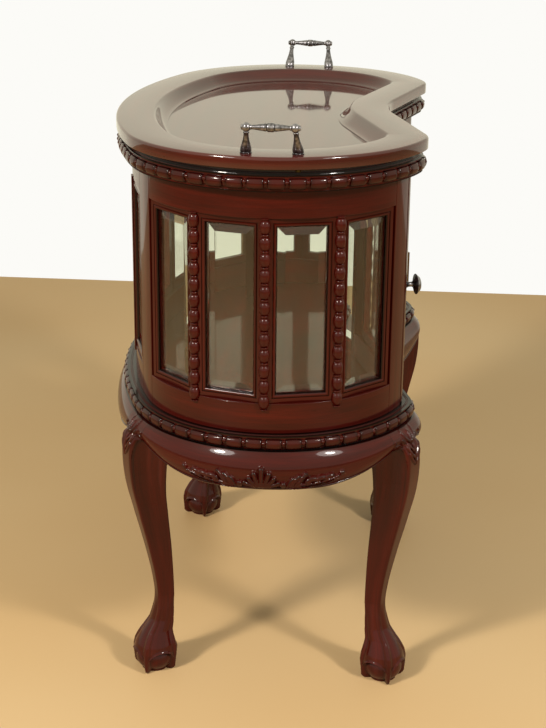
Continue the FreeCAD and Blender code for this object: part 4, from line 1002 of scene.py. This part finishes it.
def apron(name, node, points, outward, carving):
    """An apron along a line of points; the carving is centred on its middle."""
    face = apron_face()
    points = np.array(points)
    outward = np.array(outward)
    run = lengths_along(points)
    u, v = np.meshgrid(run - run[-1] / 2, face[:, 1] - Z_APRON)
    leaves, slots = carving
    raised = np.maximum(relief(u, v, leaves) - relief(u, v, slots), 0) * progress(v, 0, CARVING_START)
    lift = END_LIFT * progress(np.minimum(run, run[-1] - run), LIFT_LENGTH, 0) ** LIFT_CURVE
    inside = points - outward * APRON_THICKNESS
    rows = [np.column_stack([inside, lifted(Z_APRON, lift)])]
    for (reach, height), relief_row in zip(face, raised):
        plan = points + outward * (reach + relief_row)[:, None]
        rows.append(np.column_stack([plan, lifted(height, lift)]))
    rows.append(np.column_stack([inside, np.full(len(points), Z_BASE)]))
    item = grid(name, rows, loop_rows=True, cap_columns=True, sharp=50)
    finished(item, "cabinet", "mahogany", node)


def aprons():
    """Carved aprons under the ends and the front, and a plain one under the back."""
    carving = palmette()
    inner = leg_inner_angle()
    for side, sign in SIDES:
        centre, _ = end_place(sign)
        points = mirrored(arc(END, END_RADIUS, inner, -inner, CARVING_STEP), sign)
        outward = [(p - centre) / END_RADIUS for p in points]
        apron(f"carved_{side}_apron", f"apron_{side}", points, outward, carving)
    # The back stands to a wall, so its apron is left plain
    points = arc(BACK, BACK_RADIUS, BACK_ANGLE, math.pi - BACK_ANGLE)[::-1]
    apron("plain_back_apron", "apron_back", points, [(p - BACK) / BACK_RADIUS for p in points], ([], []))
    front = (arc(LOBE, TIP_RADIUS, -FRONT_ANGLE, FLANK_ANGLE - math.pi)
             + arc(NOTCH, NOTCH_RADIUS, FLANK_ANGLE, math.pi / 2))
    line = np.vstack([front, (np.array(front) * [-1, 1])[-2::-1]])
    lengths = lengths_along(line)
    even = np.linspace(0, lengths[-1], round(lengths[-1] / CARVING_STEP))
    points = np.column_stack([np.interp(even, lengths, line[:, k]) for k in (0, 1)])
    run = np.gradient(points, axis=0)
    run /= np.linalg.norm(run, axis=1)[:, None]
    apron("carved_front_apron", "apron_front", points, np.column_stack([-run[:, 1], run[:, 0]]), carving)


# Legs

KNEE_RISE = 13
KNEE_INSET = 6
KNEE_RADIUS = 25.5
ANKLE_HEIGHT = 105
LEG_HEAD_MARGIN = 1.2
LEG_HEAD_DEPTH = 70
# The leg's middle line starts on the foot's own axis and has left it at this height
FOOT_AXIS_INSET = 18
FOOT_AXIS_HEIGHT = 50
# The foot ends here, and blends into the shaft over this length below
FOOT_TOP = 112
FOOT_BLEND = 20
# The toes, and half the angle between two of them
TOES = np.radians([45, 135, 225, 315])
TOE_SPREAD = math.radians(45)
# At each height: how far a toe reaches from the leg's middle, its half width, and how far the skin between
# two toes reaches
TOE_REACH = [(0, 26.5), (3, 30), (8, 31.2), (14, 31.6), (20, 32.4), (30, 33), (40, 31.2), (50, 27.2),
             (60, 22.6), (75, 18), (95, 15.2), (FOOT_TOP, 14.2)]
TOE_WIDTH = [(0, 2.6), (6, 3.6), (14, 5.0), (30, 6.4), (46, 6.6), (60, 6.0), (85, 5.2), (FOOT_TOP, 5.0)]
WEB_REACH = [(4, 29.6), (30, 29.8), (40, 27.6), (50, 23.6), (60, 19.6), (75, 15.8), (95, 13.6),
             (FOOT_TOP, 13)]
TOE_ROUND = 5
TOE_CREASE = 2.0
WEB_CREASE = 0.6
# Under its arched edge the skin drops out of sight inside the ball
WEB_HIDDEN = 18
ARCH_FOOT = 4
ARCH_RISE = 27
ARCH_EDGE = 1.8
ARCH_LIP = 1.3
ARCH_LIP_WIDTH = 1.6
FOOT_BALL_RADIUS = 26
FOOT_BALL_MIDDLE = 18
FOOT_BALL_RISE = 21
# The share of its radius that the ball keeps inside the claw
FOOT_BALL_NECK = 0.5
# The flat panel sunk in each side of the leg's top, under an arched edge that runs down the outer arris
PANEL_DEPTH = 4
PANEL_FADE = (255, 300)
PANEL_EDGES = np.radians([35, 121])
PANEL_EDGE_WIDTH = math.radians(3.5)
PANEL_EDGE_ROLL = 1.5
PANEL_ARCH_FOOT = 300
PANEL_ARCH_RISE = 52
PANEL_ARCH_WIDTH = math.radians(16)
PANEL_ARCH_EDGE = 1.8
# The leg's inside flares towards the aprons
INNER_FLARE = 9
FLARE_START = 262
FLARE_CURVE = 1.4
# The shaft's section has a narrow nose, two broad sides and a flat inside: the way each faces, in degrees
# from outwards, and how far it lies from the middle of a leg whose half width is 1
SHAFT_FACES = [(0, 0.92), (76, 0.84), (-76, 0.84), (180, 0.85)]
SHAFT_CRISPNESS = 13
# The knee on the leg's head: its share of the leg's width, how it starts over the shaft and falls back to the
# aprons' face at its top, and how softly it meets that face
KNEE_WIDTH = 0.935
KNEE_START = 4
KNEE_START_RISE = 1
KNEE_START_LENGTH = 9
KNEE_FALL = 8
KNEE_FALL_FOOT = 358
KNEE_SOFTNESS = 7
# The height of the leaf's root, and what its pattern's heights are divided by to draw it out
LEAF_FOOT = 336
LEAF_SQUEEZE = 0.85
# The shaft ends a little inside the head
SHAFT_TOP = 362
SHAFT_DIVE = 5
# Rows of points: every millimetre of the foot, fewer on the plain shaft and many on the panel and the knee
PLAIN_ROWS = 60
KNEE_ROWS = 135
SHAFT_COLUMNS = 224
HEAD_COLUMNS = 91


def leg_inner_angle():
    """Angle on an end's circle where the head of a leg meets the end's apron."""
    return BACK_ANGLE - 2 * math.asin((KNEE_RADIUS + LEG_HEAD_MARGIN) / (END_RADIUS - KNEE_INSET))


def below_knee(share):
    """A height between the ankle and the knee."""
    return ANKLE_HEIGHT + (Z_APRON + KNEE_RISE - ANKLE_HEIGHT) * share


# Height, how far the leg's middle lies inside the end circle, and half its width
LEG_SHAPE = [(0, FOOT_AXIS_INSET, 24), (FOOT_AXIS_HEIGHT, 20.5, 24), (75, 29, 17), (ANKLE_HEIGHT, 33, 12.8),
             (below_knee(0.15), 31, 13.8), (below_knee(0.36), 24, 17.5), (below_knee(0.575), 15, 21.5),
             (below_knee(0.79), 7, 25), (Z_APRON + KNEE_RISE, KNEE_INSET, KNEE_RADIUS), (Z_BASE, 16, 22)]


def acanthus():
    """The knee's leaf: a stem with lobes that curl away to both sides, and two pearls beside it."""
    strokes = [stroke((0, -6), (0, 10), (0, 30), 1.6, 2.4, 3.0)]
    side = [
        stroke((3, -4), (8, 0), (12, 8), 1.6, 2.0, 2.4),
        stroke((3, 3), (9, 7), (14, 16), 1.8, 2.2, 2.8),
        stroke((3, 11), (9, 15), (13, 24), 1.8, 2.2, 2.8),
        stroke((3, 20), (7, 24), (10, 32), 1.6, 2.0, 2.4),
        stroke((10, 15), (16, 21), (24, 19), 1.3, 1.7, 1.9),
        pearl(28, 19, 1.8, 2.0),
        pearl(28.5, 23.5, 1.6, 1.8),
    ]
    return strokes + both_sides(side)


def smooth_max(a, b, soft):
    """The larger of two surfaces, with the crease between them eased over soft millimetres."""
    blend = np.clip(0.5 + (a - b) / (2 * soft), 0, 1)
    return b + (a - b) * blend + soft * blend * (1 - blend)


def wrapped(angle):
    """An angle counted from minus half a turn to half a turn."""
    return (angle + math.pi) % (2 * math.pi) - math.pi


def side_panel(angle, height):
    """How deep the panel is sunk at each point of the leg; its edge stands a little proud."""
    off = np.abs(wrapped(angle))
    first, last = PANEL_EDGES
    across = progress(off, first, first + PANEL_ARCH_WIDTH)
    arch = PANEL_ARCH_FOOT + PANEL_ARCH_RISE * np.sqrt(1 - (1 - across) ** 2)
    sunk = progress(off, first, first + PANEL_EDGE_WIDTH) * progress(off, last, last - PANEL_EDGE_WIDTH)
    sunk = np.minimum(sunk, progress(height, arch, arch - PANEL_ARCH_EDGE))
    edge = 4 * PANEL_EDGE_ROLL * sunk * (1 - sunk)
    return (PANEL_DEPTH * sunk - edge) * progress(height, *PANEL_FADE)


def shaft_section(angle):
    """The shaft's reach at each angle, for a half width of 1, its arrises a little rounded."""
    total = np.zeros_like(angle)
    for facing, distance in SHAFT_FACES:
        total += np.clip(np.cos(angle - math.radians(facing)) / distance, 0, None) ** SHAFT_CRISPNESS
    return total ** (-1 / SHAFT_CRISPNESS)


def claw(angle, height):
    """The foot's reach at each angle: four toes and the skin between them, round a ball."""
    off = np.abs(wrapped(angle[..., None] - TOES)).min(-1)
    toe_reach = np.interp(height, *zip(*TOE_REACH))
    toe_width = np.interp(height, *zip(*TOE_WIDTH))
    toe = toe_reach - TOE_ROUND * (off * toe_reach / toe_width) ** 2
    rise = (height - FOOT_BALL_MIDDLE) / FOOT_BALL_RISE
    ball = FOOT_BALL_RADIUS * np.sqrt(np.clip(1 - rise ** 2, FOOT_BALL_NECK ** 2, 1))
    # The skin between two toes arches up over the ball and ends in a lip
    above = height - ARCH_FOOT - ARCH_RISE * np.sqrt(1 - (1 - progress(off, 0, TOE_SPREAD)) ** 2)
    cover = progress(above, -ARCH_EDGE / 2, ARCH_EDGE / 2)
    lip = ARCH_LIP * np.exp(-(above / ARCH_LIP_WIDTH - 1) ** 2)
    web = (np.interp(height, *zip(*WEB_REACH)) + lip) * cover + WEB_HIDDEN * (1 - cover)
    return smooth_max(smooth_max(ball, web, WEB_CREASE), toe, TOE_CREASE)


def leg_radius(angle, height, half):
    """How far the leg's surface lies from its middle line, at each angle from the outward direction."""
    flare = INNER_FLARE * progress(height, FLARE_START, Z_APRON) ** FLARE_CURVE
    shaft = half * shaft_section(angle) + flare * np.clip(-np.cos(angle), 0, 1) - side_panel(angle, height)
    foot = progress(height, FOOT_TOP, FOOT_TOP - FOOT_BLEND)
    return shaft * (1 - foot) + claw(angle, height) * foot


def leg_line(heights):
    """How far the leg's middle lies inside the end circle, and half its width, at each height."""
    fine = curve_through(LEG_SHAPE)
    inset = np.interp(heights, fine[:, 0], fine[:, 1])
    half = np.interp(heights, fine[:, 0], fine[:, 2])
    away = progress(heights, 0, FOOT_AXIS_HEIGHT)
    return FOOT_AXIS_INSET + (inset - FOOT_AXIS_INSET) * away, half


def knee_leaf(across, height):
    """Relief of the leaf that runs from the shaft up over the knee."""
    return relief(across * KNEE_RADIUS, (height - LEAF_FOOT) * LEAF_SQUEEZE, acanthus())


def leg_shaft(name):
    """The leg from its sole to just inside its head."""
    plain = np.linspace(FOOT_TOP + 2, PANEL_FADE[0] - 1, PLAIN_ROWS)
    knee = np.linspace(PANEL_FADE[0], SHAFT_TOP, KNEE_ROWS)
    heights = np.concatenate([np.arange(FOOT_TOP + 1), plain, knee])
    inset, half = leg_line(heights)
    angle, height = np.meshgrid(np.linspace(0, 2 * math.pi, SHAFT_COLUMNS, endpoint=False), heights)
    radius = leg_radius(angle, height, half[:, None]) + knee_leaf(wrapped(angle), height)
    radius -= SHAFT_DIVE * progress(height, Z_LEG_HEAD, SHAFT_TOP) ** 2
    middle = END_RADIUS - inset[:, None]
    points = np.stack([middle + radius * np.cos(angle), radius * np.sin(angle), height], -1)
    return grid(f"{name}_shaft", points, loop_columns=True, cap_rows=True, along_columns=False, sharp=60)


def leg_head(name, half_angle):
    """The block that carries two aprons: their round face swells into the knee, with a leaf carved on it."""
    face = apron_face()
    face[:, 1] = lifted(face[:, 1], END_LIFT)
    inset, half = leg_line(face[:, 1])
    middle = (END_RADIUS - inset)[:, None]
    swing = np.linspace(-math.pi / 2, math.pi / 2, HEAD_COLUMNS)
    turn = half_angle * np.sin(swing)
    across, height = np.meshgrid(swing, face[:, 1])
    radius = (half * KNEE_WIDTH)[:, None]
    knee = middle * np.cos(turn) + np.sqrt(np.clip(radius ** 2 - (middle * np.sin(turn)) ** 2, 0, None))
    # The knee grows out of the shaft over the first few millimetres
    start = Z_LEG_HEAD + KNEE_START_RISE
    knee = knee - KNEE_START * progress(height, start + KNEE_START_LENGTH, start)
    # and falls back to the aprons' face at its top
    knee = knee - KNEE_FALL * progress(height, KNEE_FALL_FOOT, Z_BASE) ** 2
    reach = smooth_max(END_RADIUS + face[:, :1], knee, KNEE_SOFTNESS) + knee_leaf(across, height)
    inner = np.full((1, len(turn)), END_RADIUS - LEG_HEAD_DEPTH)
    reach = np.vstack([inner, reach, inner])
    height = np.vstack([np.full_like(inner, Z_LEG_HEAD), height, np.full_like(inner, Z_BASE)])
    points = np.stack([reach * np.cos(turn), reach * np.sin(turn), height], -1)
    return grid(f"{name}_head", points.transpose(1, 0, 2), loop_columns=True, cap_rows=True,
                along_columns=False, sharp=40)


def leg(name, half_angle, direction, centre):
    """One leg, which faces away from the middle of its end's circle."""
    parts = [stood(part, *centre, 0, direction) for part in (leg_shaft(name), leg_head(name, half_angle))]
    finished(joined(f"carved_{name}", parts), "cabinet", "mahogany", name)


def legs():
    """Four legs, one on each side of the two end aprons."""
    inner = leg_inner_angle()
    for side, sign in SIDES:
        centre, facing = end_place(sign)
        for row, outer, way in (("back", BACK_ANGLE, 1), ("front", FRONT_ANGLE, -1)):
            direction = facing + sign * way * (outer + inner) / 2
            leg(f"leg_{row}_{side}", (outer - inner) / 2, direction, centre)


# The object

tray_rim()
for side, sign in SIDES:
    handle(side, sign)
bead_course("beaded_cornice", "cornice_moulding", Z_TOP, Z_SEAT, lip=3.5, setback=7)
bead_course("beaded_base", "base_moulding", Z_BASE, Z_WALL, lip=1.5, setback=9)
rails_and_posts()
for side, sign in SIDES:
    centre, facing = end_place(sign)
    curved_window(f"{side}_window", centre, WALL_END_RADIUS, facing, END_WINDOW, END_LIGHTS, mullion)
curved_window("back_window", BACK, WALL_BACK_RADIUS, math.pi / 2, BACK_WINDOW, BACK_LIGHTS, plain_strip)
door()
aprons()
legs()
# The CAD's own pieces keep their shape and get the finish of their slot
for part in frame["record"]["subparts"]:
    node = part["node"]
    materials = frame["nodes"][node].data.materials
    materials.clear()
    materials.append(TOP_BOARD if node == "tray_panel" else SLOT_MATERIALS[part["material_slot"]])


# Floor, light and camera

FLOOR_REACH = 8000
FLOOR_BACK_EDGE = 1620
FLOOR_POINTS = 9


def pale_floor():
    """A plain floor that ends a little way behind the object, where the white of the room begins."""
    material, tree = new_material("pale_floor")
    place = add(tree, "TexCoord").outputs["Object"]
    cloud = streaks(tree, place, 900, 900, 2.0)
    tone = add(tree, "ValToRGB", {"Fac": cloud}, [(0.3, "#D2AE7A"), (0.7, "#DABB8B")])
    surface(tree, {"Base Color": tone.outputs["Color"], "Roughness": 0.6})
    deep = np.linspace(-FLOOR_REACH, FLOOR_BACK_EDGE, FLOOR_POINTS)
    wide = np.linspace(-FLOOR_REACH, FLOOR_REACH, FLOOR_POINTS)
    floor = grid("floor", [[(x, y, 0) for x in deep] for y in wide])
    floor.data.materials.append(material)


# Lamps are in metres and watts, and all of them face the middle of the object
LAMP_AIM = Vector((0, 0, 0.45))
AMBIENT = 0.28


def lamp(name, place, size, power, colour):
    """A soft round studio light."""
    light = bpy.data.lights.new(name, "AREA")
    light.shape = "DISK"
    light.size = size
    light.energy = power
    light.color = linear(colour)[:3]
    item = bpy.data.objects.new(name, light)
    item.location = place
    item.rotation_euler = (LAMP_AIM - Vector(place)).to_track_quat("-Z", "Y").to_euler()
    item.visible_camera = False
    bpy.context.scene.collection.objects.link(item)


def studio():
    """A white room: full white to the eye, in gloss and through glass, and a softer light on the rest."""
    world = bpy.data.worlds.new("studio")
    bpy.context.scene.world = world
    world.use_nodes = True
    tree = world.node_tree
    tree.nodes.clear()
    ray = add(tree, "LightPath").outputs
    seen = ray["Is Camera Ray"]
    for kind in ("Is Glossy Ray", "Is Transmission Ray"):
        seen = add(tree, "Math", {0: seen, 1: ray[kind]}, operation="MAXIMUM").outputs["Value"]
    strength = add(tree, "MapRange", {"Value": seen, "To Min": AMBIENT, "To Max": 1.0})
    # The room is a warm white in gloss and through glass, and nearly plain white to the camera
    wall = add(tree, "Mix", {FACTOR: ray["Is Camera Ray"], UNDER: linear("#FCF6DC"), OVER: linear("#FCFBF7")},
               data_type="RGBA")
    background = add(tree, "Background", {"Color": wall.outputs[MIXED],
                                          "Strength": strength.outputs["Result"]})
    add(tree, "OutputWorld", {"Surface": background.outputs["Background"]})
    lamp("left_lamp", (-2.06, 1.59, 2.2), 0.36, 50, "#FFF6E8")
    lamp("right_lamp", (-1.78, -1.89, 2.2), 0.3, 36, "#FFF8F0")
    # A large soft screen near each lamp widens the gleams on the turned and carved wood
    lamp("left_screen", (-2.2, 1.6, 2.3), 0.95, 30, "#FFFAF4")
    lamp("right_screen", (-1.9, -2.0, 2.3), 0.95, 22, "#FFFAF4")


# The camera's place is in metres, its angles in radians, and its lens and sensor in millimetres
CAMERA_PLACE = (-2.1303, -0.1784, 1.1205)
CAMERA_YAW = 0.0827
CAMERA_PITCH = 0.3403
CAMERA_ROLL = 0.0105
LENS = 75.8
SENSOR_WIDTH = 36


def camera():
    """The view that the object is shown in."""
    data = bpy.data.cameras.new("camera")
    data.lens = LENS
    data.sensor_width = SENSOR_WIDTH
    item = bpy.data.objects.new("camera", data)
    flat = math.cos(CAMERA_PITCH)
    look = Vector((math.cos(CAMERA_YAW) * flat, math.sin(CAMERA_YAW) * flat, -math.sin(CAMERA_PITCH)))
    turn = look.to_track_quat("-Z", "Y").to_matrix().to_4x4() @ Matrix.Rotation(CAMERA_ROLL, 4, "Z")
    item.matrix_world = Matrix.Translation(CAMERA_PLACE) @ turn
    bpy.context.scene.collection.objects.link(item)
    bpy.context.scene.camera = item


pale_floor()
studio()
camera()
bpy.context.scene.view_settings.view_transform = "Standard"
